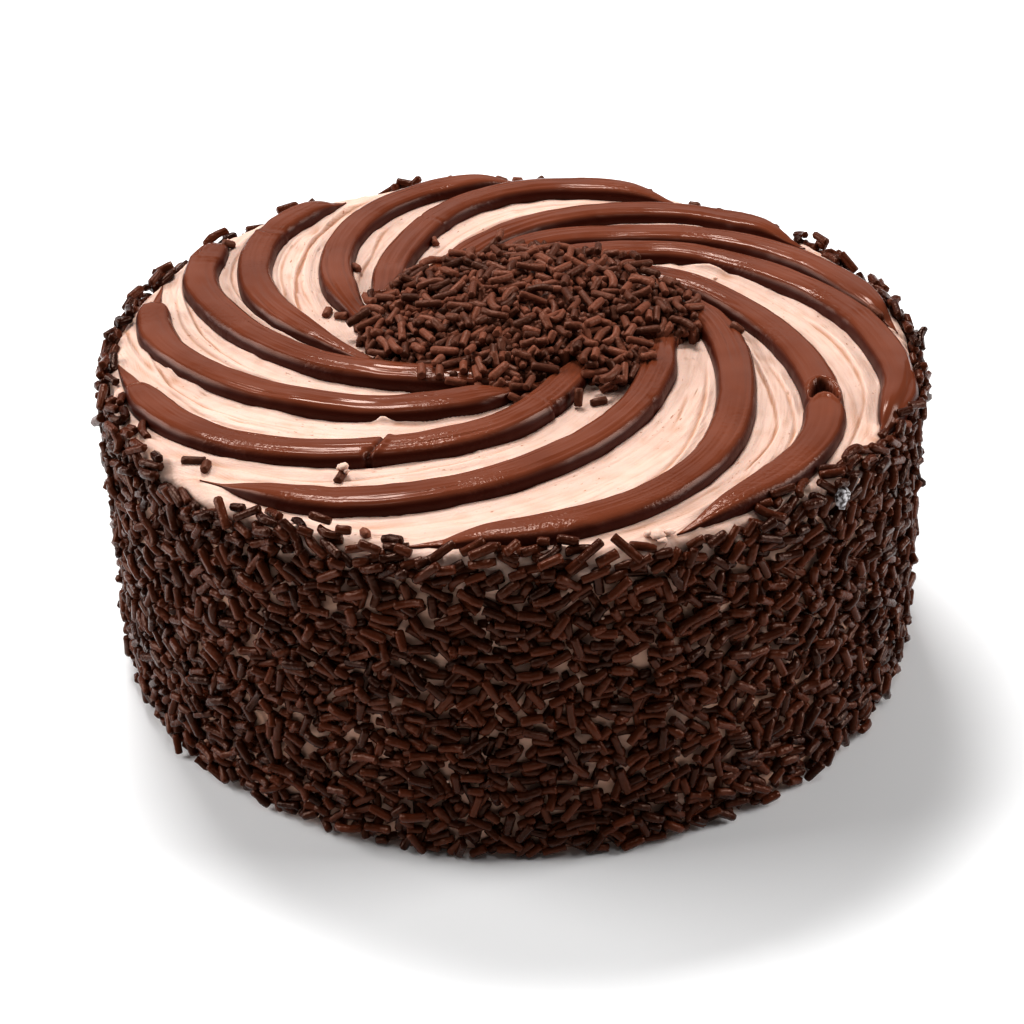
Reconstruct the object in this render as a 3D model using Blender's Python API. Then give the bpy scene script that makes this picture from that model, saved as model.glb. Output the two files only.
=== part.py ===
"""Mocha layer cake: a round buttercream cake with chocolate sprinkles pressed into its
side, twelve ganache stripes swept round its top and a heap of sprinkles in the middle.

Metres, +Z up. The origin is the middle of the flat underside, and -Y is the front."""
import math

import bmesh
import bpy
import numpy as np
from mathutils import Matrix, Vector

MM = 0.001
GAP = 0.3 * MM
SEED = 11

# Buttercream body
TOP_HEIGHT = 85.6 * MM
WALL_RADIUS_BOTTOM = 105.3 * MM
WALL_RADIUS_TOP = 104.6 * MM
RIM_RADIUS = 103.6 * MM
SHOULDER_RADIUS = 101.5 * MM
SHOULDER_DROP = 0.8 * MM
SHOULDER_HEIGHT = 3 * MM
FOOT_ROUNDING = 1.5 * MM
TOP_LEAN = 0.010

# The far right of the rim is drawn in, as the spatula left it
INSET_DEPTH = 5.5 * MM
INSET_DIRECTION = math.radians(50)
INSET_SPREAD = math.radians(42)
INSET_FROM = 70 * MM
INSET_SHARE_HALF_UP = 0.4

# The swept buttercream between two stripes: shares of the way from one to the next
LAND_SHARES = (0.0, 0.18, 0.36, 0.52, 0.66, 0.82)
LAND_HEIGHTS = (-0.3 * MM, 0.2 * MM, 1.0 * MM, 0.3 * MM, 0.9 * MM, 0.1 * MM)
SWEPT_FROM = 52 * MM
SWEPT_FULLY = 62 * MM
TOP_RINGS = (96, 88, 80, 72, 65, 58, 50, 25)

# Ganache stripes
STRIPE_HALF_WIDTH = 4.7 * MM
STRIPE_SINK = 1.0 * MM
STRIPE_RISE = 4.3 * MM
STRIPE_SECTION = ((-1.0, 0.3), (-0.9, 0.8), (-0.5, 1.0), (0.3, 1.0), (0.84, 0.86), (1.0, 0.3), (0.7, 0.0),
                  (-0.7, 0.0))
STRIPE_STEP = 10.5 * MM
TAIL_LENGTH = 26 * MM
TAIL_WIDTH = 0.16
TAIL_HEIGHT = 0.35
ROOT_LENGTH = 5 * MM
ROOT_WIDTH = 0.55
COVERED_ROOT = 4 * MM

# Each stripe by the angle in degrees of its middle line, anticlockwise from +X: first the
# radius and angle of its inner end, then the angle at each named radius, then its tip
STRIPE_RADII = (50, 65, 80, 92)
STRIPES = (
    (47.5, 382.0, 372.0, 328.5, 305.5, 284.0, 102.6, 255.0),
    (43.5, 409.5, 395.5, 363.0, 340.5, 323.0, 102.5, 290.5),
    (44.0, 436.5, 424.5, 402.5, 378.0, 359.5, 103.0, 327.5),
    (44.0, 455.0, 446.5, 420.5, 400.0, 378.0, 100.8, 359.0),
    (43.0, 473.0, 461.5, 444.0, 424.5, 403.0, 97.0, 391.0),
    (43.5, 501.0, 491.5, 474.0, 460.5, 441.0, 94.5, 417.0),
    (43.5, 522.0, 514.0, 498.5, 483.0, 467.0, 99.0, 447.0),
    (43.0, 553.5, 542.0, 527.0, 512.5, 498.0, 100.0, 479.0),
    (27.5, 606.5, 560.0, 543.0, 529.0, 518.5, 101.2, 502.0),
    (31.5, 632.0, 593.0, 571.5, 555.0, 541.0, 102.0, 520.5),
    (24.5, 680.5, 626.0, 605.0, 588.5, 572.5, 102.9, 545.5),
    (40.0, 706.5, 668.0, 639.5, 619.0, 603.5, 103.1, 586.5),
)

# Sprinkles are short rods, here with six sides
SPRINKLE_RADIUS = 1.08 * MM
SPRINKLE_LENGTHS = (5.0 * MM, 8.0 * MM)
SPRINKLE_SIDES = 6
GOLDEN_ANGLE = math.pi * (3 - math.sqrt(5))
SIDE_SPRINKLES = 126
SIDE_LOWEST = 3.0 * MM
SIDE_HIGHEST = 79 * MM
SIDE_TILT_SPREAD = math.radians(32)
RIM_SPRINKLES = 38
RIM_SPRINKLE_RADIUS = 102.2 * MM
RIM_SCATTER = 1.6 * MM

# Sprinkles that fell on the buttercream: place in millimetres and direction in degrees
STRAY_SPRINKLES = (
    (-41, -72, 70), (-78, -64, 160), (-40, 41, 110), (-19, 56, 100), (-80, 57, 95), (59, -4, 100),
)

# Heap of sprinkles
HEAP_CENTRE = Vector((4.5 * MM, 3 * MM, 0))
HEAP_RADIUS = 43.5 * MM
HEAP_RISE = 8.2 * MM
HEAP_EDGE_RISE = 3.3 * MM
HEAP_EDGE_VARIATION = 1.1 * MM
HEAP_HIGH_DIRECTION = math.radians(70)
HEAP_SHARES = (1.0, 0.96, 0.78, 0.52, 0.26)
HEAP_COLUMNS = 40
HEAP_SPRINKLES = 58
HEAP_CLEAR_SHARE = 0.45


def clear_scene():
    for item in list(bpy.data.objects):
        bpy.data.objects.remove(item, do_unlink=True)


def make_material(name, colour, roughness):
    material = bpy.data.materials.new(name)
    material.use_nodes = True
    shader = material.node_tree.nodes["Principled BSDF"]
    shader.inputs["Base Color"].default_value = (*colour, 1)
    shader.inputs["Roughness"].default_value = roughness
    material.diffuse_color = (*colour, 1)
    return material


def make_collection(name):
    collection = bpy.data.collections.new(name)
    bpy.context.scene.collection.children.link(collection)
    return collection


def object_from_bmesh(name, shape, material, collection):
    bmesh.ops.recalc_face_normals(shape, faces=shape.faces)
    mesh = bpy.data.meshes.new(name)
    shape.to_mesh(mesh)
    shape.free()
    mesh.materials.append(material)
    item = bpy.data.objects.new(name, mesh)
    collection.objects.link(item)
    return item


def loft(sections):
    """Closed body of triangles through sections of equal count, filled at its two ends."""
    shape = bmesh.new()
    rings = [[shape.verts.new(point) for point in section] for section in sections]
    for ring, following in zip(rings, rings[1:]):
        count = len(ring)
        for k in range(count):
            shape.faces.new((ring[k], ring[(k + 1) % count], following[(k + 1) % count], following[k]))
    shape.faces.new(rings[0])
    shape.faces.new(rings[-1])
    bmesh.ops.triangulate(shape, faces=shape.faces)
    return shape


def natural_spline(knots, values, places):
    """Natural cubic spline through the values at the knots, read at the places."""
    gaps = np.diff(knots)
    slopes = np.diff(values, axis=0) / gaps[:, None]
    count = len(knots)
    system = np.eye(count)
    right_side = np.zeros_like(values)
    for k in range(1, count - 1):
        system[k, k - 1:k + 2] = gaps[k - 1], 2 * (gaps[k - 1] + gaps[k]), gaps[k]
        right_side[k] = 6 * (slopes[k] - slopes[k - 1])
    bends = np.linalg.solve(system, right_side)
    k = np.clip(np.searchsorted(knots, places) - 1, 0, count - 2)
    step = (places - knots[k])[:, None]
    gap = gaps[k][:, None]
    linear = slopes[k] - gap * (2 * bends[k] + bends[k + 1]) / 6
    cubic = (bends[k + 1] - bends[k]) / (6 * gap)
    return values[k] + step * linear + step ** 2 * bends[k] / 2 + step ** 3 * cubic


def smooth_step(low, high, value):
    share = min(1.0, max(0.0, (value - low) / (high - low)))
    return share * share * (3 - 2 * share)


def top_level(radius):
    """Height of the plain top at a radius: flat, then falling over the shoulder."""
    return TOP_HEIGHT - SHOULDER_DROP * smooth_step(SHOULDER_RADIUS - 3 * MM, RIM_RADIUS, radius)


def rim_inset(angle):
    off = math.remainder(angle - INSET_DIRECTION, math.tau)
    return INSET_DEPTH * math.exp(-(off / INSET_SPREAD) ** 2)


def swirl_angle(stripe, radius):
    """Angle that a stripe has at a radius, held inside the first named radius."""
    radii = [value * MM for value in STRIPE_RADII] + [RIM_RADIUS]
    angles = [*stripe[2:6], stripe[7]]
    return math.radians(float(np.interp(radius, radii, angles)))


def swirl_columns(radius):
    """Angles of the lines that run along the stripes and along the ridges between them."""
    angles = []
    for k, stripe in enumerate(STRIPES):
        start = swirl_angle(stripe, radius)
        end = swirl_angle(STRIPES[(k + 1) % len(STRIPES)], radius)
        if k == len(STRIPES) - 1:
            end += math.tau
        angles += [start + share * (end - start) for share in LAND_SHARES]
    return angles


def ring_at(radius, height, angles, inset_share=1.0):
    points = []
    for angle in angles:
        here = radius - inset_share * rim_inset(angle)
        points.append(Vector((here * math.cos(angle), here * math.sin(angle), height)))
    return points


def swept_ring(radius):
    """Ring of the top, raised into the ridges that the spatula left."""
    strength = smooth_step(SWEPT_FROM, SWEPT_FULLY, radius)
    heights = LAND_HEIGHTS * len(STRIPES)
    inset_share = smooth_step(INSET_FROM, RIM_RADIUS, radius)
    points = ring_at(radius, top_level(radius), swirl_columns(radius), inset_share)
    for point, height in zip(points, heights):
        point.z += strength * height
    return points


def buttercream_shape():
    edge = swirl_columns(RIM_RADIUS)
    rings = [
        ring_at(WALL_RADIUS_BOTTOM - FOOT_ROUNDING, 0, edge, 0),
        ring_at(WALL_RADIUS_BOTTOM, FOOT_ROUNDING, edge, 0),
        ring_at((WALL_RADIUS_BOTTOM + WALL_RADIUS_TOP) / 2, TOP_HEIGHT / 2, edge, INSET_SHARE_HALF_UP),
        ring_at(WALL_RADIUS_TOP, TOP_HEIGHT - SHOULDER_HEIGHT, edge),
        ring_at(RIM_RADIUS, TOP_HEIGHT - SHOULDER_DROP, edge),
        ring_at(SHOULDER_RADIUS, top_level(SHOULDER_RADIUS), edge),
    ]
    rings += [swept_ring(radius * MM) for radius in TOP_RINGS]
    return loft(rings)


def stripe_path(stripe, step=STRIPE_STEP):
    """Points and directions along a stripe's middle line, from its inner end to its tip."""
    radii = np.array([stripe[0], *STRIPE_RADII, stripe[6]]) * MM
    angles = np.radians([stripe[1], *stripe[2:6], stripe[7]])
    corners = np.stack([radii * np.cos(angles), radii * np.sin(angles)], axis=1)
    knots = np.concatenate([[0], np.cumsum(np.linalg.norm(np.diff(corners, axis=0), axis=1))])
    places = np.linspace(0, knots[-1], round(knots[-1] / step) + 1)
    points = natural_spline(knots, corners, places)
    directions = np.gradient(points, axis=0)
    directions /= np.linalg.norm(directions, axis=1)[:, None]
    return points, directions, places


def stripe_taper(place, length):
    """Share of the full width and of the full height at a place along a stripe."""
    tail = min(1.0, (length - place) / TAIL_LENGTH)
    root = min(1.0, place / ROOT_LENGTH)
    width = (TAIL_WIDTH + (1 - TAIL_WIDTH) * tail ** 0.7) * (ROOT_WIDTH + (1 - ROOT_WIDTH) * root)
    height = TAIL_HEIGHT + (1 - TAIL_HEIGHT) * tail ** 0.6
    return width, height


def stripe_shape(stripe, growth=0.0, lift=0.0):
    """One stripe, or with growth the room round it; lift opens that room upwards."""
    points, directions, places = stripe_path(stripe)
    sections = []
    for point, direction, place in zip(points, directions, places):
        width, height = stripe_taper(place, places[-1])
        level = top_level(math.hypot(*point))
        bottom = level - STRIPE_SINK * height - growth
        crown = level + STRIPE_RISE * height + growth
        opening = lift if place > COVERED_ROOT else 0
        end = growth * (1 if place == places[-1] else -1 if place == 0 else 0)
        side = Vector((-direction[1], direction[0], 0))
        middle = Vector((*(point + direction * end), 0))
        half_width = STRIPE_HALF_WIDTH * width + growth
        section = []
        for across, up in STRIPE_SECTION:
            rise = bottom + (crown - bottom) * up + (opening if up > 0.5 else 0)
            section.append(middle + side * half_width * across + Vector((0, 0, rise)))
        sections.append(section)
    return loft(sections)


def sprinkle_shape(length):
    """Rod along X."""
    turns = [math.tau * k / SPRINKLE_SIDES for k in range(SPRINKLE_SIDES)]
    ends = []
    for place in (-length / 2, length / 2):
        ends.append([Vector((place, SPRINKLE_RADIUS * math.cos(turn), SPRINKLE_RADIUS * math.sin(turn)))
                     for turn in turns])
    return loft(ends)


def near_stripe(middle, along, length):
    """True where a sprinkle would come closer to a stripe than the gap between bodies."""
    reach = SPRINKLE_RADIUS + 2 * GAP
    for stripe in STRIPES:
        points, _, places = stripe_path(stripe, STRIPE_STEP / 4)
        for point, place in zip(points, places):
            clear = STRIPE_HALF_WIDTH * stripe_taper(place, places[-1])[0] + reach
            for share in (-0.5, -0.25, 0, 0.25, 0.5):
                spot = middle + along * (share * length)
                if math.hypot(spot.x - point[0], spot.y - point[1]) < clear:
                    return True
    return False


def place_sprinkle(length, middle, along, outward, collection, above_stripes=False):
    """Sprinkle lying along one direction on a face that looks outward, left out at a stripe."""
    outward = outward.normalized()
    along = (along - outward * along.dot(outward)).normalized()
    if middle.z > TOP_HEIGHT - SHOULDER_HEIGHT and not above_stripes and near_stripe(middle, along, length):
        return
    turn = Matrix((along, outward.cross(along), outward)).transposed().to_4x4()
    shape = sprinkle_shape(length)
    shape.transform(Matrix.Translation(middle) @ turn)
    object_from_bmesh("sprinkle", shape, chocolate, collection)


def side_sprinkles(random, collection):
    for k in range(SIDE_SPRINKLES):
        angle = k * GOLDEN_ANGLE
        height = SIDE_LOWEST + (SIDE_HIGHEST - SIDE_LOWEST) * (k + 0.5) / SIDE_SPRINKLES
        share = height / TOP_HEIGHT
        radius = WALL_RADIUS_BOTTOM + share * (WALL_RADIUS_TOP - WALL_RADIUS_BOTTOM - rim_inset(angle))
        outward = Vector((math.cos(angle), math.sin(angle), 0))
        tilt = random.normal(0, SIDE_TILT_SPREAD)
        if height < 2 * SIDE_LOWEST:
            tilt = 0
        level = Vector((-math.sin(angle), math.cos(angle), 0))
        along = level * math.cos(tilt) + Vector((0, 0, math.sin(tilt)))
        middle = outward * (radius + 0.1 * MM) + Vector((0, 0, height))
        place_sprinkle(random.uniform(*SPRINKLE_LENGTHS), middle, along, outward, collection)


def rim_sprinkles(random, collection):
    """Sprinkles that spill over the rim onto the top, clear of the stripes."""
    for k in range(RIM_SPRINKLES):
        angle = math.tau * (k + random.uniform(-0.3, 0.3)) / RIM_SPRINKLES
        length = random.uniform(*SPRINKLE_LENGTHS)
        radius = RIM_SPRINKLE_RADIUS - rim_inset(angle) + random.uniform(-RIM_SCATTER, RIM_SCATTER)
        outward = Vector((math.cos(angle), math.sin(angle), 0))
        middle = outward * radius + Vector((0, 0, top_level(radius) + 0.35 * MM))
        turn = angle + random.uniform(0.5, 2.6)
        along = Vector((math.cos(turn), math.sin(turn), 0))
        place_sprinkle(length, middle, along, outward * 0.25 + Vector((0, 0, 1)), collection)


def stray_sprinkles(collection):
    for x, y, degrees in STRAY_SPRINKLES:
        middle = Vector((x * MM, y * MM, 0))
        middle.z = top_level(middle.length) + 0.7 * MM
        turn = math.radians(degrees)
        along = Vector((math.cos(turn), math.sin(turn), 0))
        place_sprinkle(SPRINKLE_LENGTHS[0], middle, along, Vector((0, 0, 1)), collection)


def heap_edge(angle):
    """Radius of the heap's uneven outline and its height just inside the outline."""
    radius = HEAP_RADIUS + 1.4 * MM * math.sin(2 * angle + 0.6) + 0.9 * MM * math.sin(5 * angle)
    rise = HEAP_EDGE_RISE + HEAP_EDGE_VARIATION * math.cos(angle - HEAP_HIGH_DIRECTION)
    return radius, rise


def heap_point(share, angle):
    radius, edge_rise = heap_edge(angle)
    rise = edge_rise + (HEAP_RISE - edge_rise) * (1 - share ** 2) ** 0.8
    offset = Vector((math.cos(angle), math.sin(angle), 0)) * radius * share
    return HEAP_CENTRE + offset + Vector((0, 0, TOP_HEIGHT + GAP + rise))


def heap_core():
    turns = [math.tau * k / HEAP_COLUMNS for k in range(HEAP_COLUMNS)]
    foot = [heap_point(1.0, turn) for turn in turns]
    for point in foot:
        point.z = TOP_HEIGHT + GAP
    return loft([foot] + [[heap_point(share, turn) for turn in turns] for share in HEAP_SHARES])


def heap_sprinkles(random, collection):
    """Sprinkles that show on the heap, spread evenly and lying every way."""
    for k in range(HEAP_SPRINKLES):
        share = math.sqrt((k + 0.5) / HEAP_SPRINKLES)
        angle = k * GOLDEN_ANGLE
        middle = heap_point(share * 0.985, angle)
        beside = heap_point(share * 0.985, angle + 0.05) - middle
        inward = heap_point(share * 0.985 - 0.05, angle) - middle
        outward = beside.cross(inward)
        if outward.z < 0:
            outward = -outward
        turn = random.uniform(0, math.pi)
        length = random.uniform(*SPRINKLE_LENGTHS)
        along = Vector((math.cos(turn), math.sin(turn), random.uniform(-0.2, 0.2)))
        middle.z = max(middle.z, TOP_HEIGHT + GAP + 1.3 * SPRINKLE_RADIUS)
        place_sprinkle(length, middle, along, outward, collection, above_stripes=share < HEAP_CLEAR_SHARE)


def cut_and_join(item, cutters, additions):
    """Cut one collection's bodies out of an object, join another's on and drop them."""
    for collection, operation in ((cutters, "DIFFERENCE"), (additions, "UNION")):
        modifier = item.modifiers.new(operation.lower(), "BOOLEAN")
        modifier.operation = operation
        modifier.solver = "EXACT"
        modifier.operand_type = "COLLECTION"
        modifier.collection = collection
        modifier.material_mode = "TRANSFER"
    bpy.context.view_layer.update()
    evaluated = item.evaluated_get(bpy.context.evaluated_depsgraph_get())
    mesh = bpy.data.meshes.new_from_object(evaluated)
    item.modifiers.clear()
    item.data = mesh
    for collection in (cutters, additions):
        for other in list(collection.objects):
            bpy.data.objects.remove(other, do_unlink=True)
        bpy.data.collections.remove(collection)
    keep_largest_body(item)


def keep_largest_body(item):
    """Drop loose scraps that the cuts left beside the main body."""
    shape = bmesh.new()
    shape.from_mesh(item.data)
    waiting = set(shape.verts)
    bodies = []
    while waiting:
        body = set()
        front = [waiting.pop()]
        while front:
            vertex = front.pop()
            body.add(vertex)
            for edge in vertex.link_edges:
                other = edge.other_vert(vertex)
                if other in waiting:
                    waiting.remove(other)
                    front.append(other)
        bodies.append(body)
    bodies.sort(key=len)
    for body in bodies[:-1]:
        bmesh.ops.delete(shape, geom=list(body), context="VERTS")
    shape.to_mesh(item.data)
    shape.free()


def finish(item):
    """Lean the top up towards the back, with the underside kept flat, and shade smooth."""
    for vertex in item.data.vertices:
        vertex.co.z *= 1 + TOP_LEAN * vertex.co.y / TOP_HEIGHT
    item.data.shade_smooth()
    item.data.set_sharp_from_angle(angle=math.radians(40))


def build_cake(parts):
    random = np.random.default_rng(SEED)
    item = object_from_bmesh("cake", buttercream_shape(), buttercream, parts)
    cutters = make_collection("stripe_room_in_buttercream")
    for stripe in STRIPES:
        object_from_bmesh("room", stripe_shape(stripe, growth=GAP), buttercream, cutters)
    sprinkles = make_collection("cake_sprinkles")
    side_sprinkles(random, sprinkles)
    rim_sprinkles(random, sprinkles)
    stray_sprinkles(sprinkles)
    cut_and_join(item, cutters, sprinkles)
    finish(item)


def build_stripes(parts):
    for k, stripe in enumerate(STRIPES):
        finish(object_from_bmesh(f"ganache_stripe_{k + 1:02d}", stripe_shape(stripe), ganache, parts))


def build_heap(parts):
    random = np.random.default_rng(SEED + 1)
    item = object_from_bmesh("sprinkle_heap", heap_core(), chocolate, parts)
    cutters = make_collection("stripe_room_in_heap")
    for stripe in STRIPES:
        object_from_bmesh("room", stripe_shape(stripe, growth=GAP, lift=HEAP_RISE), chocolate, cutters)
    sprinkles = make_collection("heap_sprinkles")
    heap_sprinkles(random, sprinkles)
    cut_and_join(item, cutters, sprinkles)
    finish(item)


clear_scene()
buttercream = make_material("mocha_buttercream", (0.78, 0.53, 0.40), 0.62)
ganache = make_material("chocolate_ganache", (0.10, 0.030, 0.016), 0.22)
chocolate = make_material("chocolate_sprinkle", (0.050, 0.022, 0.014), 0.5)
mocha_cake = make_collection("mocha_cake")
build_cake(mocha_cake)
build_stripes(mocha_cake)
build_heap(mocha_cake)
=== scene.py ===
"""Looks of the mocha layer cake: swept buttercream, twelve ganache stripes and the
sprinkles on its side and in a heap on its top.

Shapes are worked out in millimetres and made in metres. A place on the top is found from
the stripes: how far along the nearest one and how far beside it."""
import math

import bpy
import numpy as np
from mathutils import Matrix, Vector


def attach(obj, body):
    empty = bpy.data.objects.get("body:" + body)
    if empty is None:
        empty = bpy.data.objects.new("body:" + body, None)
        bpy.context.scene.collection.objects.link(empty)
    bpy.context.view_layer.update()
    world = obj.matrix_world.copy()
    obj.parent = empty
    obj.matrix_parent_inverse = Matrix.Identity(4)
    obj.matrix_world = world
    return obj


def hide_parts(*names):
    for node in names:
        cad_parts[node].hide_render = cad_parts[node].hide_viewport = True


MM = 0.001

# Camera, fitted to the photo's rim and base, with the picture taken as 1024 pixels wide
CAMERA_PLACE = (-1.0, -497.1, 341.2)
CAMERA_PITCH = math.radians(31.91)
CAMERA_ROLL = math.radians(-1.11)
FOCAL_PIXELS = 2123.0
PICTURE_PIXELS = 1024
SENSOR = 36.0

# Buttercream body, as in the construction, then the humps across a land between two stripes,
# the radii over which the sweep sets in, and its folds, creases and lips
TOP = 85.6
TOP_LEAN = 0.010
WALL_BOTTOM = 105.3
WALL_TOP = 104.6
ROUNDING = 3.0
FOOT_ROUNDING = 1.5
INSET_DEPTH = 5.5
INSET_DIRECTION = math.radians(50)
INSET_SPREAD = math.radians(42)
INSET_HALF_UP = 0.4
LAND_SHARES = (0.0, 0.18, 0.36, 0.52, 0.66, 0.82, 1.0)
LAND_HEIGHTS = (-0.3, 0.2, 1.0, 0.3, 0.9, 0.1, -0.3)
SWEPT_FROM = 50.0
SWEPT_FULLY = 60.0
FOLD_FADE = 6
CREASE_COUNT = 3
LIP_HEIGHT = 0.34
CHANNEL_DEPTH = 1.3

# Stripes, as in the construction apart from the cut tail and the swing below: radius and angle
# of the inner end, angles at the radii named here, radius and angle of the tip
STRIPE_RADII = (50, 65, 80, 92)
STRIPES = (
    (47.5, 382.0, 372.0, 328.5, 305.5, 284.0, 102.6, 255.0),
    (43.5, 409.5, 395.5, 363.0, 340.5, 323.0, 102.5, 290.5),
    (44.0, 436.5, 424.5, 402.5, 378.0, 359.5, 103.0, 327.5),
    (44.0, 455.0, 446.5, 420.5, 400.0, 378.0, 100.8, 359.0),
    (43.0, 473.0, 461.5, 444.0, 424.5, 403.0, 97.0, 391.0),
    (43.5, 501.0, 491.5, 474.0, 460.5, 441.0, 94.5, 417.0),
    (43.5, 522.0, 514.0, 498.5, 483.0, 467.0, 99.0, 447.0),
    (43.0, 553.5, 542.0, 527.0, 512.5, 498.0, 100.0, 479.0),
    (27.5, 606.5, 560.0, 543.0, 529.0, 518.5, 101.2, 502.0),
    (31.5, 632.0, 593.0, 571.5, 555.0, 541.0, 102.0, 520.5),
    (24.5, 680.5, 626.0, 605.0, 588.5, 572.5, 102.9, 545.5),
    (40.0, 706.5, 668.0, 639.5, 619.0, 603.5, 103.1, 586.5),
)
HALF_WIDTH = 4.7
SINK = 1.0
RISE = 4.3
LINE_STEP = 0.7
LINE_BEYOND = 45.0
LINE_BEFORE = 14.0

# Tail of each stripe: length of the thin end, its share of the width, length of the shoulder
TAILS = (
    (10, 0.25, 26), (6, 0.26, 28), (5, 0.25, 16), (6, 0.30, 20), (6, 0.30, 20), (6, 0.30, 26),
    (6, 0.36, 20), (5, 0.34, 15), (6, 0.34, 11), (14, 0.30, 8), (16, 0.46, 13), (6, 0.12, 34),
)

# Stripes with a tail cut on its left side: share kept to the right, and extra length
CUT_TAILS = {12: (0.95, 5.0)}

# Stripes that swing out to their left before the tip: distance, place before the tip, spread
SWINGS = {3: (3.7, 22, 18)}

# Root of each stripe: its share of the width at the heap, and the length over which it widens;
# then how far it runs on under the heap
ROOTS = (
    (0.62, 24), (0.70, 18), (0.80, 12), (0.72, 14), (0.80, 12), (0.90, 8),
    (0.62, 20), (0.36, 32), (0.80, 12), (0.30, 14), (0.55, 20), (0.66, 16),
)
BURIED_ROOT = 7.0

# Cross-section of a stripe from its foot to its middle: shares of half width and height
HALF_SECTION = (
    (0.99, 0.0), (1.05, 0.26), (1.04, 0.50), (0.97, 0.71), (0.83, 0.865), (0.58, 0.955), (0.28, 0.99),
    (0.0, 1.0),
)
SECTION_POINTS = 31

# Creases and ridges along the stripes: place across as a share of half width, height in
# millimetres, and spread as a share of half width
STRIPE_CREASES = (
    (-0.50, -0.62, 0.07), (0.48, -0.62, 0.07), (-0.16, -0.40, 0.07), (0.18, -0.34, 0.06),
    (0.34, 0.24, 0.10), (-0.34, 0.22, 0.10), (-0.68, 0.20, 0.10), (0.68, 0.20, 0.10),
)

# Marks across the stripes: stripe, place (x, y), height, width along the stripe, bow and slant
JOINS = (
    (8, (-68, 61), 0.24, 0.7, 3.2, 0.0), (8, (-65.8, 63.6), -0.38, 2.4, 3.2, 0.0),
    (11, (-33.2, -60), -1.0, 0.5, 0.5, 2.6), (11, (-31.4, -60), 0.40, 0.9, 0.5, 2.6),
    (11, (6.5, -41), 0.16, 0.7, 0.4, 0.6), (9, (-86, 45), 0.18, 1.6, 1.8, 0.0),
    (6, (-24, 68), -0.15, 0.8, 1.0, 0.5), (10, (-95.5, 21), 0.20, 1.4, 1.8, 0.0),
    (3, (94, 4), 0.15, 2.5, 1.8, 0.0),
)

# The burst bubble: its stripe, its place, half its width, how far back towards the heap its
# arch and its nose reach, and its depth
BUBBLE_STRIPE = 2
BUBBLE_PLACE = (75.1, -43.0)
BUBBLE_HALF_WIDTH = 3.9
BUBBLE_ARCH = 10.0
BUBBLE_NOSE = 3.6
BUBBLE_DEPTH = 3.6

# Notches in a stripe's edge: stripe, side, place (x, y), share of half width, spread
NOTCHES = ((11, 1, (-35.4, -60), 0.22, 0.9), (12, 1, (33, -41), 0.06, 1.4), (11, 1, (8, -40), 0.16, 0.7))

# Ripples near a tip: stripe, distances from the tip where they start and end, height, length
RIPPLES = ((9, 26, 8, 0.05, 2.9), (7, 60, 30, 0.04, 4.0), (5, 40, 15, 0.04, 3.5))

# Folds in the land on a stripe's left: stripe, height, then place along it and share over
FOLDS = (
    (12, 0.6, (3, 0.28), (15, 0.42), (31, 0.47)),
    (12, 0.6, (5, 0.63), (32, 0.68), (60, 0.76)),
    (1, 1.0, (20, 0.31), (43, 0.37), (68, 0.50), (84, 0.54)),
    (1, 0.6, (42, 0.56), (69, 0.71), (98, 0.84)),
    (2, 0.6, (55, 0.56), (92, 0.59), (112, 0.56)),
    (7, 1.3, (8, 0.70), (19, 0.55), (35, 0.44), (51, 0.50), (66, 0.68)),
    (7, 0.5, (5, 0.86), (19, 0.70), (45, 0.67)),
    (9, 0.8, (48, 0.58), (68, 0.45), (98, 0.42)),
    (10, 0.8, (55, 0.45), (88, 0.53), (106, 0.34)),
    (6, 0.8, (4, 0.60), (20, 0.50), (34, 0.62)),
    (8, 0.6, (20, 0.35), (50, 0.42), (85, 0.60)),
    (3, 0.7, (40, 0.30), (80, 0.42), (110, 0.36)),
    (11, 0.5, (30, 0.35), (60, 0.42), (95, 0.58)),
    (4, 0.5, (20, 0.40), (60, 0.60)), (5, 0.5, (15, 0.42), (50, 0.36)),
)

# Torn lips of buttercream beside a stripe: stripe, side, place (x, y), reach, height
LIPS = (
    (10, 1, (-88, -14), 14, 1.1), (10, 1, (-70, -34), 18, 0.6), (10, 1, (-20, -45), 12, 0.8),
    (3, -1, (54, 38), 9, 2.7), (3, -1, (66, 28), 10, 0.8), (9, 1, (-60, -8), 12, 0.6),
    (11, 1, (-60, -52), 14, 0.4), (1, -1, (54, -52), 12, 0.5), (7, 1, (-40, 74), 14, 0.8),
)

# Peaks and dents in the buttercream: place (x, y), height or depth, reach
PEAKS = ((-32.5, -43.8, 3.0, 1.2), (-31, -44.5, 1.2, 1.6), (33, -97, 1.2, 1.2), (43, -95, 0.9, 1.1),
         (94, -51, 1.6, 2.0), (90, -56, 1.6, 1.8), (86, -60, 1.3, 1.8), (81, -61, 0.9, 1.6))
DENTS = ((-27, -96.5, 0.9, 1.1), (-31, -95.0, 0.8, 0.9), (-47, -80, 0.4, 0.8))

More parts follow.
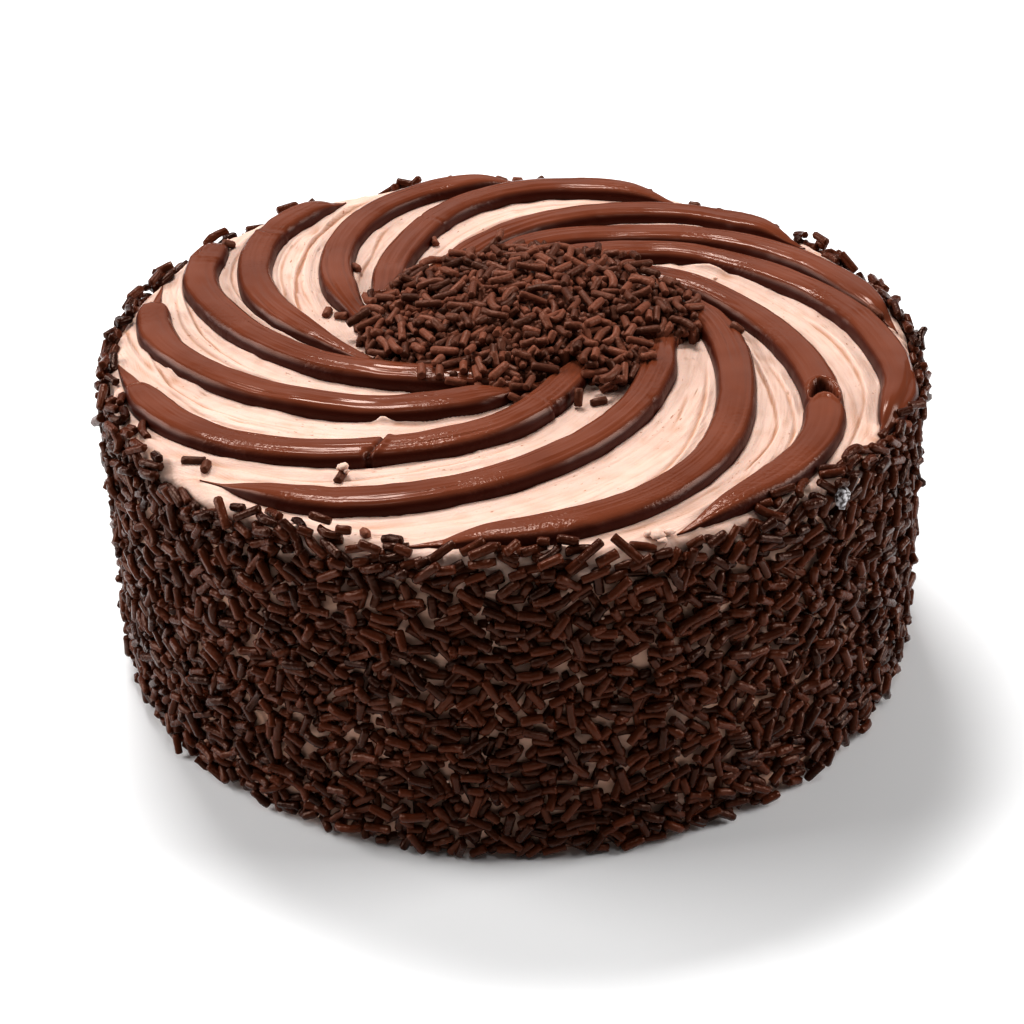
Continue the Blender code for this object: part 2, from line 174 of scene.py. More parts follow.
# Sprinkles: sizes, the share and shortest and longest length of each kind, and the sizes of
# the first rings as shares of the radius; then how many lie where, and how
SPRINKLE_RADIUS = 1.15
HEAP_SPRINKLE_RADIUS = 1.09
HEAP_LONGER = 1.12
SPRINKLE_SIDES = 6
KINDS = {"long": (0.36, 4.6, 6.6), "short": (0.39, 2.8, 4.5), "bent": (0.25, 4.9, 7.2)}
KIND_NAMES = tuple(KINDS)
END_SIZES = (0.76, 0.94, 1.0)
SIDE_COUNT = 6080
SIDE_TRIES = 7
SIDE_STICK_OUT = 0.035
SIDE_LOWEST = 1.2
SIDE_SUNK = (0.25, 0.95)
NEAR_LEVEL_SHARE = 0.36
RIM_TILT = 0.36
THICKNESS = (0.92, 1.08)
BURIED_DEPTH = 1.1
RIM_COUNT = 210
GAP_COUNT = 46
GAP_REACH = (0.7, 1.6)
GAP_KEPT = 0.93

# The heap: how its sprinkles lie, its place and form, and the core under them
HEAP_COUNT = 1330
HEAP_TRIES = 12
HEAP_STANDING = 0.58
HEAP_CENTRE = (3.6, 3.0)
HEAP_RADIUS = 42.2
HEAP_REACH = 46.5
HEAP_RISE = 8.6
HEAP_EDGE_RISE = 2.8
HEAP_CORE_DEPTH = 3.6
CORE_RINGS = 22
CORE_COLUMNS = 96
CORE_SHARE = 0.93
CORE_SUNK = 0.8

# Foot of the heap round its centre: angle and radius
HEAP_OUTLINE = (
    (0, 46.0), (15, 45.0), (35, 43.5), (60, 42.5), (90, 42.0), (120, 42.0), (150, 43.0), (170, 44.5),
    (178, 44.5), (188, 43.5), (203, 42.0), (218, 40.0), (232, 38.0), (246, 37.0), (258, 38.0),
    (266, 40.5), (272, 37.0), (280, 34.0), (287, 27.0), (292, 24.5), (296, 30.0), (300, 39.5),
    (308, 41.0), (316, 42.0), (324, 40.0), (334, 35.0), (343, 36.5), (350, 44.0), (360, 46.0),
)

# How far the side's sprinkles reach past the top of the wall: angle round the cake, reach
REACHES = (
    (0, 1.0), (8, 0.5), (14, 2.0), (20, -0.5), (27, 2.2), (34, 2.0), (42, -2.5), (60, -3.5), (95, -3.5),
    (103, -3.0), (108, 2.5), (112, -3.5), (122, -3.5), (127, 2.2), (132, -3.2), (137, -2.5), (141, 2.0),
    (146, -2.5), (150, -1.0), (155, 1.8), (165, 1.0), (175, 2.0), (183, 1.0), (197, 1.5), (205, 2.2),
    (212, 2.6), (218, 0.4), (226, -0.3), (231, 0.5), (236, 1.8), (241, 3.0), (249, 2.4), (256, 1.8),
    (264, 2.6), (272, 2.8), (280, 2.2), (285, 0.2), (293, 0.4), (301, 1.6), (310, 2.8), (318, 2.0),
    (330, 1.8), (341, 1.2), (350, 1.5), (360, 1.0),
)

# Sprinkles that fell on the top: place (x, y), direction and rise in degrees, length
LONG_STRAYS = (
    (-76.4, -61.6, 174, 0, 5.8), (96, 6, 120, 0, 5.0), (94.5, -47, 25, 0, 5.0),
)
SHORT_STRAYS = (
    (-41, -70.5, 72, 0, 4.0), (-49.5, 15, 75, 0, 4.0), (-73.2, -64.4, 80, 0, 3.6),
    (-45.5, 12.5, 160, 0, 3.8), (-43, 40, 118, 0, 3.6), (-21.5, 56.5, 105, 0, 3.4),
    (58.5, -4, 140, 0, 3.6), (-80, 56, 30, 0, 3.4), (16, -37.4, 80, 68, 4.6), (21, -36.2, 22, 0, 4.2),
    (-23, -26, 92, 0, 4.8), (-18.5, -26.5, 90, 0, 4.6), (-34, -94.5, 120, 0, 2.6),
    (-18.3, 101, 20, 20, 3.0), (-2.3, 101.8, 160, 12, 3.6), (2.6, 101.4, 200, 10, 3.0),
    (9.3, 100.6, 30, 24, 3.0), (41.2, 90, 200, 18, 3.0), (54.6, 82, 150, 0, 3.4), (62, 76, 320, 0, 3.6),
    (75.8, 62.8, 300, 15, 3.0),
)

# Pale crumbs on the top: place and half size; flecks on the side; place and half sizes of the
# shiny crumb; crumbs on a fallen sprinkle: place, height and half size
TOP_CRUMBS = (
    (31.5, -97.2, 1.9), (34.2, -96.2, 1.4), (29.4, -96.6, 1.3), (32.5, -98.8, 1.2), (-51.5, -89.5, 1.0),
    (-50, -90.3, 0.8), (56, 31, 0.6),
)
FLECK_COUNT = 160
FLECK_RISE = (0.8, 1.8)
FLECK_SIZE = (0.22, 0.5)
SHINY_CRUMB = (75.7, -77.4, 83.0, 2.0, 2.0, 3.0)
RAISED_CRUMBS = ((-40.2, -68.9, 3.0, 1.3), (-41.0, -68.4, 2.6, 1.0), (-39.6, -69.8, 2.4, 0.8))


def smooth(share):
    """A share from 0 to 1 with a soft start and end."""
    share = np.clip(share, 0.0, 1.0)
    return share * share * (3 - 2 * share)


def bell(distance, spread):
    """1 in the middle, falling off smoothly to both sides."""
    return np.exp(-(distance / spread) ** 2)


def read_table(table, column, row, a, b):
    """Value between four neighbouring cells of a table, by linear interpolation."""
    near = table[..., column, row] * (1 - a) + table[..., column + 1, row] * a
    far = table[..., column, row + 1] * (1 - a) + table[..., column + 1, row + 1] * a
    return near * (1 - b) + far * b


class Noise:
    """Smooth random heights over a plane, from -1 to 1, on a lattice of unit cells."""

    SIZE = 128

    def __init__(self, seed):
        table = np.random.default_rng(seed).uniform(-1, 1, (self.SIZE, self.SIZE))
        self.table = np.pad(table, (0, 1), mode="wrap")

    def __call__(self, x, y):
        x, y = np.broadcast_arrays(np.asarray(x, float), np.asarray(y, float))
        column = np.floor(x).astype(int)
        row = np.floor(y).astype(int)
        cell = (column % self.SIZE, row % self.SIZE)
        return read_table(self.table, *cell, smooth(x - column), smooth(y - row))


def natural_spline(knots, values, places):
    """Natural cubic spline through the values at the knots, read at the places."""
    gaps = np.diff(knots)
    slopes = np.diff(values, axis=0) / gaps[:, None]
    count = len(knots)
    system = np.eye(count)
    right_side = np.zeros_like(values)
    for k in range(1, count - 1):
        system[k, k - 1:k + 2] = gaps[k - 1], 2 * (gaps[k - 1] + gaps[k]), gaps[k]
        right_side[k] = 6 * (slopes[k] - slopes[k - 1])
    bends = np.linalg.solve(system, right_side)
    k = np.clip(np.searchsorted(knots, places) - 1, 0, count - 2)
    step = (places - knots[k])[:, None]
    gap = gaps[k][:, None]
    linear = slopes[k] - gap * (2 * bends[k] + bends[k + 1]) / 6
    cubic = (bends[k + 1] - bends[k]) / (6 * gap)
    return values[k] + step * linear + step ** 2 * bends[k] / 2 + step ** 3 * cubic


def rows_of(table, number):
    """Rows of a table for one stripe, without its number."""
    return [row[1:] for row in table if row[0] == number]


class Stripe:
    """Middle line of one stripe, carried on past both ends for reading the land beside it."""

    def __init__(self, number, row):
        self.number = number
        radii = np.array([row[0], *STRIPE_RADII, row[6]], float)
        angles = np.radians([row[1], *row[2:6], row[7]])
        corners = np.stack([radii * np.cos(angles), radii * np.sin(angles)], axis=1)
        knots = np.concatenate([[0], np.cumsum(np.linalg.norm(np.diff(corners, axis=0), axis=1))])
        keep_right, longer = CUT_TAILS.get(number, (0, 0))
        self.length = knots[-1] + longer
        self.tail = TAILS[number - 1]
        self.root = ROOTS[number - 1]
        places = np.arange(0, knots[-1], LINE_STEP)
        points = natural_spline(knots, corners, places)
        directions = np.gradient(points, axis=0)
        directions /= np.linalg.norm(directions, axis=1)[:, None]
        before = np.arange(-LINE_BEFORE, 0, LINE_STEP)
        beyond = np.arange(places[-1] + LINE_STEP, self.length + LINE_BEYOND, LINE_STEP)
        self.places = np.concatenate([before, places, beyond])
        self.points = np.concatenate([
            points[0] + before[:, None] * directions[0], points,
            points[-1] + (beyond - places[-1])[:, None] * directions[-1]])
        self.directions = np.concatenate([
            np.repeat(directions[:1], len(before), axis=0), directions,
            np.repeat(directions[-1:], len(beyond), axis=0)])
        left_side = np.stack([-self.directions[:, 1], self.directions[:, 0]], axis=-1)
        swing, before_tip, spread = SWINGS.get(number, (0, 0, 1))
        shift = swing * bell(self.length - self.places - before_tip, spread)
        shift = shift - keep_right * HALF_WIDTH * (1 - self.tail_share(self.places))
        self.points = self.points + left_side * shift[:, None]

    def at(self, places):
        """Points and directions at places along the line."""
        x = np.interp(places, self.places, self.points[:, 0])
        y = np.interp(places, self.places, self.points[:, 1])
        dx = np.interp(places, self.places, self.directions[:, 0])
        dy = np.interp(places, self.places, self.directions[:, 1])
        size = np.hypot(dx, dy)
        return np.stack([x, y], axis=-1), np.stack([dx / size, dy / size], axis=-1)

    def place_of(self, spot):
        """Place along the line nearest to a spot."""
        off = np.hypot(self.points[:, 0] - spot[0], self.points[:, 1] - spot[1])
        return self.places[np.argmin(off)]

    def tail_share(self, places):
        """Share of the full width that the tail leaves."""
        thin, neck, shoulder = self.tail
        left = self.length - places
        opening = np.clip((left - thin) / shoulder, 0, 1)
        return np.where(left < thin, neck * np.clip(left / thin, 0, 1) ** 0.8,
                        neck + (1 - neck) * opening * (2 - opening))

    def taper(self, places):
        """Share of the full width, and of the full height, along the stripe; 0 past its ends."""
        width = self.tail_share(places)
        root_width, root_length = self.root
        root = root_width + (1 - root_width) * smooth(places / root_length + 0.1)
        wobble = 1 + 0.05 * WIDTH_NOISE(places / 11, self.number * 7.3)
        width = width * root * wobble
        width = np.where(places < -BURIED_ROOT - 0.5, 0, width)
        return width, smooth(width / root / 0.92) ** 0.8 * root ** 0.5


WIDTH_NOISE = Noise(3)
HEIGHT_NOISE = Noise(4)
LUMP_NOISE = Noise(5)
STREAK_NOISE = Noise(6)
LIP_NOISE = Noise(7)
DRIFT_NOISE = Noise(9)
LINES = [Stripe(k + 1, row) for k, row in enumerate(STRIPES)]


class SwirlMap:
    """Signed distance to each stripe's line, and place along it, on a grid over the top."""

    REACH = 113.0
    CELL = 1.0

    def __init__(self):
        side = np.arange(-self.REACH, self.REACH + self.CELL, self.CELL)
        x, y = np.meshgrid(side, side, indexing="ij")
        flat = np.stack([x.ravel(), y.ravel()], axis=1).astype(np.float32)
        self.count = len(side)
        self.beside = np.empty((len(LINES), self.count, self.count))
        self.along = np.empty_like(self.beside)
        for k, line in enumerate(LINES):
            points = line.points.astype(np.float32)
            square = (flat ** 2).sum(1)[:, None] - 2 * flat @ points.T + (points ** 2).sum(1)[None]
            nearest = np.argmin(square, axis=1)
            off = flat - points[nearest]
            way = line.directions[nearest]
            side = np.sign(way[:, 0] * off[:, 1] - way[:, 1] * off[:, 0])
            self.beside[k] = (side * np.hypot(off[:, 0], off[:, 1])).reshape(x.shape)
            self.along[k] = (line.places[nearest] + (way * off).sum(1)).reshape(x.shape)

    def read(self, x, y):
        """Distances and places for each stripe at the points, by linear interpolation."""
        i = np.clip((np.asarray(x) + self.REACH) / self.CELL, 0, self.count - 1.001)
        j = np.clip((np.asarray(y) + self.REACH) / self.CELL, 0, self.count - 1.001)
        column = i.astype(int)
        row = j.astype(int)
        tables = (self.beside, self.along)
        return [read_table(table, column, row, i - column, j - row) for table in tables]


SWIRL = SwirlMap()


def rim_inset(angle):
    off = np.remainder(angle - INSET_DIRECTION + math.pi, math.tau) - math.pi
    return INSET_DEPTH * bell(off, INSET_SPREAD)


def wall_radius(height, angle):
    """Radius of the plain side at a height and angle."""
    share = height / TOP
    inset_share = np.interp(share, [0, 0.5, 1], [0, INSET_HALF_UP, 1])
    foot = np.clip(1 - height / FOOT_ROUNDING, 0, 1)
    rounding = FOOT_ROUNDING * (1 - np.sqrt(1 - foot ** 2))
    return WALL_BOTTOM + share * (WALL_TOP - WALL_BOTTOM) - inset_share * rim_inset(angle) - rounding


def rim_drop(radius, angle):
    """How far the rounded rim lies below the plain top."""
    into = np.clip(radius - (WALL_TOP - rim_inset(angle) - ROUNDING), 0, ROUNDING)
    return ROUNDING - np.sqrt(np.maximum(ROUNDING ** 2 - into ** 2, 0))


def ganache_height(beside, along):
    """Height of the stripes over the plain top, from distances and places; 0 between them."""
    tallest = np.zeros(beside.shape[1:])
    for k, line in enumerate(LINES):
        width, height = line.taper(along[k])
        share = np.abs(beside[k]) / np.maximum(HALF_WIDTH * width, 1e-3)
        crown = RISE * height * np.sqrt(np.clip(1 - share ** 3, 0, 1))
        tallest = np.maximum(tallest, np.where((share < 1) & (along[k] > -BURIED_ROOT), crown, 0))
    return tallest


def land_between(beside, along):
    """Number of the stripe on whose left each point lies, its share of the way over, the
    distance from that stripe and the place along it."""
    left = np.where(beside >= 0, beside, 1e3)
    right = np.where(beside < 0, -beside, 1e3)
    owner = np.argmin(left, axis=0)
    off = np.take_along_axis(left, owner[None], 0)[0]
    over = np.min(right, axis=0)
    place = np.take_along_axis(along, owner[None], 0)[0]
    return owner, off / np.maximum(off + over, 1e-6), off, over, place


def wander(place, row):
    """How far a fold or crease strays from its course, as a share of the land."""
    return 0.05 * DRIFT_NOISE(place / 17, row * 2.3)


def fold_height(away, tall):
    """Height across a fold: a groove, a steep side and a long slope."""
    edge = smooth((away + 0.25) / 0.6) * np.exp(-np.maximum(away - 0.3, 0) / 2.2)
    return tall * (edge - 0.45 * bell(away + 0.45, 0.40))


def folds_and_creases(owner, share, across, place):
    """What the spatula's edge left, each steep on one side, from the land's stripe, the share
    of the way over it, its width and the place along it."""
    relief = np.zeros_like(share)
    for stripe, tall, *route in FOLDS:
        places, shares = np.array(route).T
        start = places[0] - FOLD_FADE
        end = places[-1] + FOLD_FADE
        away = (share - np.interp(place, places, shares) - 0.5 * wander(place, stripe)) * across
        ends = smooth((place - start) / 8) * smooth((end - place) / 8)
        rugged = 0.8 + 0.35 * LIP_NOISE(place / 5, stripe * 3.1)
        here = (owner == stripe - 1) & (place > start) & (place < end)
        relief = relief + np.where(here, ends * rugged * fold_height(away, tall), 0)
    random = np.random.default_rng(21)
    for crease in range(CREASE_COUNT):
        spot = random.uniform(0.2, 0.8, len(LINES))[owner]
        steep = random.choice((-1, 1), len(LINES))[owner]
        tall = random.uniform(0.10, 0.38, len(LINES))[owner]
        away = (share - spot - wander(place, 3 * crease + owner)) * across * steep
        show = smooth(0.4 + 1.6 * DRIFT_NOISE(place / 22 + 7 * crease, owner * 1.9 + 11))
        relief = relief + show * fold_height(away, tall)
    return relief


def lay_banks(relief, beside, along):
    """The relief with a soft or torn lip beside every stripe, and sunk under it."""
    for k, line in enumerate(LINES):
        width, height = line.taper(along[k])
        gap = np.abs(beside[k]) - HALF_WIDTH * width
        there = (width > 0.02) & (along[k] > -BURIED_ROOT)
        lip = LIP_HEIGHT * (0.6 + 0.8 * LIP_NOISE(along[k] / 6, k * 9 + np.sign(beside[k])))
        for side, spot, reach, tall in rows_of(LIPS, line.number):
            near = bell(along[k] - line.place_of(spot), reach) * (beside[k] * side > 0)
            lip = lip + tall * near * (0.75 + 0.45 * LIP_NOISE(along[k] / 3.2, k * 3 + 50))
        bank = np.where(gap > 0, np.exp(-np.maximum(gap - 0.45, 0)), 1.0)
        sunk = smooth((0.35 - gap) / 0.9)
        banked = relief + lip * bank * smooth((gap + 0.7) / 0.8)
        relief = np.where(there, banked * (1 - sunk) - CHANNEL_DEPTH * height * sunk, relief)
    return relief


def top_relief(x, y):
    """Height of the swept buttercream over the plain top."""
    beside, along = SWIRL.read(x, y)
    owner, share, off, over, place = land_between(beside, along)
    strength = smooth((np.hypot(x, y) - SWEPT_FROM) / (SWEPT_FULLY - SWEPT_FROM))
    drift = 0.05 * DRIFT_NOISE(place / 24, owner * 5.1)
    humps = sum(np.interp(share + drift + blur, LAND_SHARES, LAND_HEIGHTS) for blur in (0, 0.03, -0.03)) / 3
    swell = 0.75 + 0.35 * DRIFT_NOISE(place / 30 + 9, owner * 3.7)
    relief = swell * 0.8 * humps + folds_and_creases(owner, share, off + over, place)
    relief = strength * (relief + 0.09 * STREAK_NOISE(place / 18, off / 1.5 + owner * 17))
    relief = relief + 0.03 * STREAK_NOISE(place / 9 + 40, off / 0.8 + owner * 31)
    relief = lay_banks(relief + 0.10 * LUMP_NOISE(x / 3.1, y / 3.1), beside, along)
    for px, py, tall, reach in PEAKS:
        relief = relief + tall * np.exp(-(np.hypot(x - px, y - py) / reach) ** 1.4)
    for px, py, deep, reach in DENTS:
        ring = np.hypot(x - px, y - py) / reach
        relief = relief - deep * bell(ring, 1) + 0.35 * deep * bell(ring - 1.4, 0.4)
    return relief


def covered_top(x, y):
    """Height of the buttercream or of the stripe over it, whichever is higher."""
    return np.maximum(top_relief(x, y), ganache_height(*SWIRL.read(x, y)))


def polar_points(radius, angle, height):
    return np.stack([radius * np.cos(angle), radius * np.sin(angle), height], axis=-1)


def lean(points):
    """Lean the top up towards the back, as in the construction, and turn to metres."""
    points = np.array(points, float)
    points[..., 2] *= 1 + TOP_LEAN * points[..., 1] / TOP
    return points * MM


def add_to_scene(name, data):
    item = bpy.data.objects.new(name, data)
    bpy.context.scene.collection.objects.link(item)
    return item


def make_mesh(name, points, faces, material):
    """Smooth object from arrays; faces is a list of arrays, each of faces with equal sides."""
    loops = np.concatenate([part.ravel() for part in faces]).astype(np.int32)
    sizes = np.concatenate([np.full(len(part), part.shape[1]) for part in faces]).astype(np.int32)
    starts = np.concatenate([[0], np.cumsum(sizes)[:-1]]).astype(np.int32)
    mesh = bpy.data.meshes.new(name)
    mesh.vertices.add(len(points))
    mesh.vertices.foreach_set("co", points.astype(np.float32).ravel())
    mesh.loops.add(len(loops))
    mesh.loops.foreach_set("vertex_index", loops)
    mesh.polygons.add(len(sizes))
    mesh.polygons.foreach_set("loop_start", starts)
    mesh.polygons.foreach_set("use_smooth", np.full(len(sizes), True))
    mesh.update(calc_edges=True)
    mesh.validate()
    mesh.materials.append(material)
    return add_to_scene(name, mesh)


def add_attribute(item, name, values):
    layer = item.data.attributes.new(name, "FLOAT", "POINT")
    layer.data.foreach_set("value", np.asarray(values, np.float32))


def add_vector(item, name, values):
    layer = item.data.attributes.new(name, "FLOAT_VECTOR", "POINT")
    layer.data.foreach_set("vector", np.asarray(values, np.float32).ravel())


def grid_faces(rings, columns):
    """Quads between rings that close on themselves."""
    ring = np.arange(rings - 1)[:, None] * columns
    here = np.arange(columns)[None]
    there = (here + 1) % columns
    corners = [ring + here, ring + there, ring + columns + there, ring + columns + here]
    return np.stack(corners, axis=-1).reshape(-1, 4)


def fan(centre, first, columns, turned=False):
    """Triangles from a centre point to the ring that starts at the first point."""
    here = first + np.arange(columns)
    there = first + (np.arange(columns) + 1) % columns
    edge = (there, here) if turned else (here, there)
    return np.stack([np.full(columns, centre), *edge], axis=-1)


# Buttercream: grids of the top and side, how its hollows are found for the painted shade in them,
# how much painted shade the side takes, and how far apart the stored places of two lands lie, so
# that no two look alike

TOP_COLUMNS = 840
TOP_RING_STEP = 0.66
INNER_RADIUS = 34.0
INSET_FROM = 70.0
RAGGED_FROM = 97.0
ROUNDING_RINGS = 7
SKIRT_HEIGHTS = (1.5, 3.0, 5.0, 6.5, 8.0)
SIDE_COLUMNS = 300
SIDE_RING_STEP = 2.1
SIDE_TOP = TOP - ROUNDING - 5.0
SIDE_TUCK = 0.8
SIDE_SHADE = 0.62
SEAM_DEPTH = 3.0
CAVITY_RINGS = 3
CAVITY_COLUMNS = 3
CAVITY_DEPTH = 0.30
SWEEP_APART = 40


def stripe_angles(radius):
    """Angle of each stripe's line where it crosses a radius, rising from stripe to stripe."""
    angles = []
    for line in LINES:
        radii = np.hypot(line.points[:, 0], line.points[:, 1])
        turn = np.unwrap(np.arctan2(line.points[:, 1], line.points[:, 0]))
        order = np.argsort(radii)
        angles.append(np.interp(max(radius, STRIPE_RADII[0]), radii[order], turn[order]))
    angles = np.array(angles)
    for k in range(1, len(angles)):
        while angles[k] < angles[k - 1]:
            angles[k] += math.tau
        while angles[k] - angles[k - 1] > math.tau:
            angles[k] -= math.tau
    return angles


def column_angles(radius):
    """Angles of the mesh's columns at a radius, which run along the sweep of the stripes."""
    angles = stripe_angles(radius)
    angles = np.append(angles, angles[0] + math.tau)
    places = np.arange(TOP_COLUMNS) * len(LINES) / TOP_COLUMNS
    return np.interp(places, np.arange(len(LINES) + 1), angles)


def smear(values, rings, columns):
    """Mean over neighbouring rings and columns of a grid that closes on itself."""
    total = sum(np.roll(values, k, axis=1) for k in range(-columns, columns + 1)) / (2 * columns + 1)
    padded = np.pad(total, ((rings, rings), (0, 0)), mode="edge")
    return sum(padded[k:k + len(values)] for k in range(2 * rings + 1)) / (2 * rings + 1)


def side_lumps(angle, height):
    arc = angle * WALL_TOP
    return 0.45 * LUMP_NOISE(arc / 6.5, height / 6.5 + 60) + 0.22 * LUMP_NOISE(arc / 2.3, height / 2.3 + 20)


def top_rings():
    """Radius, angle, height, and outward and upward shares of the bulges on each ring."""
    rings = []
    outer = WALL_TOP - ROUNDING
    for radius in np.linspace(INNER_RADIUS, outer, int((outer - INNER_RADIUS) / TOP_RING_STEP)):
        angle = column_angles(radius)
        here = radius - smooth((radius - INSET_FROM) / (outer - INSET_FROM)) * rim_inset(angle)
        rings.append((here, angle, TOP, 0.0, 1.0))
    angle = column_angles(outer)
    for k in range(1, ROUNDING_RINGS + 1):
        turn = math.pi / 2 * (1 - k / ROUNDING_RINGS)
        here = WALL_TOP - rim_inset(angle) - ROUNDING * (1 - math.cos(turn))
        height = TOP - ROUNDING * (1 - math.sin(turn))
        rings.append((here, angle, height, math.cos(turn), math.sin(turn)))
    for drop in SKIRT_HEIGHTS:
        height = TOP - ROUNDING - drop
        here = wall_radius(height, angle) - SIDE_TUCK * smooth((SIDE_TOP - height) / SEAM_DEPTH)
        rings.append((here, angle, height, 1.0, 0.0))
    return [np.array([np.broadcast_to(ring[k], TOP_COLUMNS) for ring in rings]) for k in range(5)]


def build_buttercream_top(material):
    """Swept top with its rounded rim and a short skirt, as a grid that follows the stripes."""
    radius, angle, height, outward, upward = top_rings()
    x = radius * np.cos(angle)
    y = radius * np.sin(angle)
    relief = top_relief(x, y)
    # Painted shade: the hollows of the relief are darkened towards a browner colour
    hollow = smear(relief, CAVITY_RINGS, CAVITY_COLUMNS) - relief
    painted_shade = np.clip(hollow / CAVITY_DEPTH, 0, 1) * upward
    arc = angle * WALL_TOP
    ragged = smooth((radius - RAGGED_FROM + rim_inset(angle)) / 5) * (1 - smooth((TOP - 5 - height) / 5))
    bulge = side_lumps(angle, height)
    bulge = bulge + 0.45 * ragged * LIP_NOISE(arc / 3.4, height / 3.0 + radius / 3.0)
    height = height + relief * upward + upward * ragged * 0.35 * LIP_NOISE(arc / 2.6 + 70, radius / 2.6)
    points = polar_points(radius + outward * bulge, angle, height).reshape(-1, 3)
    points = np.concatenate([points, [[0, 0, TOP]]])
    faces = [grid_faces(len(radius), TOP_COLUMNS)[:, ::-1], fan(len(points) - 1, 0, TOP_COLUMNS)]
    item = make_mesh("buttercream_top", lean(points), faces, material)
    # Painted shade on the skirt below the rim, as much as on the side
    below_rim = (TOP - ROUNDING - height) / SKIRT_HEIGHTS[-1]
    painted_shade = np.maximum(painted_shade, SIDE_SHADE * smooth(below_rim))
    add_attribute(item, "painted_shade", np.append(painted_shade.ravel(), 0))
    owner, _, off, _, place = land_between(*SWIRL.read(x, y))
    sweep = np.stack([place, off + SWEEP_APART * owner, np.zeros_like(off)], axis=-1).reshape(-1, 3)
    add_vector(item, "sweep", np.append(sweep, [[0, 0, 0]], axis=0))
    return item


def build_buttercream_side(material):
    """Side down to the flat base, tucked a little inside the top's skirt."""
    angle = math.tau * np.arange(SIDE_COLUMNS)[None] / SIDE_COLUMNS
    height = np.linspace(SIDE_TOP, 0, int(SIDE_TOP / SIDE_RING_STEP))[:, None]
    radius = wall_radius(height, angle) + side_lumps(angle, height) * smooth(height / 3)
    radius = radius - SIDE_TUCK * smooth((height - SIDE_TOP + SEAM_DEPTH) / SEAM_DEPTH)
    points = polar_points(radius, angle, height + 0 * angle).reshape(-1, 3)
    last = len(points) - SIDE_COLUMNS
    points = np.concatenate([points, [[0, 0, SIDE_TOP]], [[0, 0, 0]]])
    lid = fan(len(points) - 2, 0, SIDE_COLUMNS)
    base = fan(len(points) - 1, last, SIDE_COLUMNS, turned=True)
    faces = grid_faces(len(height), SIDE_COLUMNS)[:, ::-1]
    item = make_mesh("buttercream_side", lean(points), [faces, lid, base], material)
    # Painted shade over the whole side, where it lies among the sprinkles
    add_attribute(item, "painted_shade", np.full(len(points), SIDE_SHADE))
    return item


# Ganache stripes

STATION_STEP = 0.55
LEAST_WIDTH = 0.03
LEAST_HEIGHT = 0.06
RIPPLE_BOW = 1.44
WAVY_STRIPES = (1, 2)


def section_curve():
    """Shares of half width and height from the left foot over the middle to the right foot."""
    half = np.array(HALF_SECTION)
    corners = np.concatenate([half[:-1] * (-1, 1), half[::-1]])
    knots = np.concatenate([[0], np.cumsum(np.linalg.norm(np.diff(corners, axis=0), axis=1))])
    return natural_spline(knots, corners, np.linspace(0, knots[-1], SECTION_POINTS))


def burst_bubble(past, across, half):
    """Lift of the crown, change of width and the hole where a bubble burst, from the distance
    past it along the stripe."""
    sideways = np.clip(np.abs(across * half) / BUBBLE_HALF_WIDTH, 0, 1.3)
    oval = np.hypot(past / BUBBLE_ARCH, sideways) + 1e-6
    steep = np.hypot(past / BUBBLE_ARCH ** 2, sideways / BUBBLE_HALF_WIDTH) / oval + 1e-6
    after_arch = (1 - oval) / steep
    before_nose = -past - BUBBLE_NOSE * (1 - sideways ** 2)
    hole = smooth(after_arch / 0.8) * smooth(before_nose) * smooth((1.0 - sideways) / 0.12)
    rim = bell(after_arch + 0.4, 0.6) * smooth((1.25 - sideways) / 0.2) * smooth((-past + 1) / 2)
    lift = 0.65 * rim - BUBBLE_DEPTH * hole + 0.30 * bell(before_nose + 0.9, 0.9)
    widening = 1 - 0.11 * bell(past + 0.3, 1.3) + 0.06 * smooth(past / 3) * smooth((16 - past) / 12)
    return lift, widening, hole


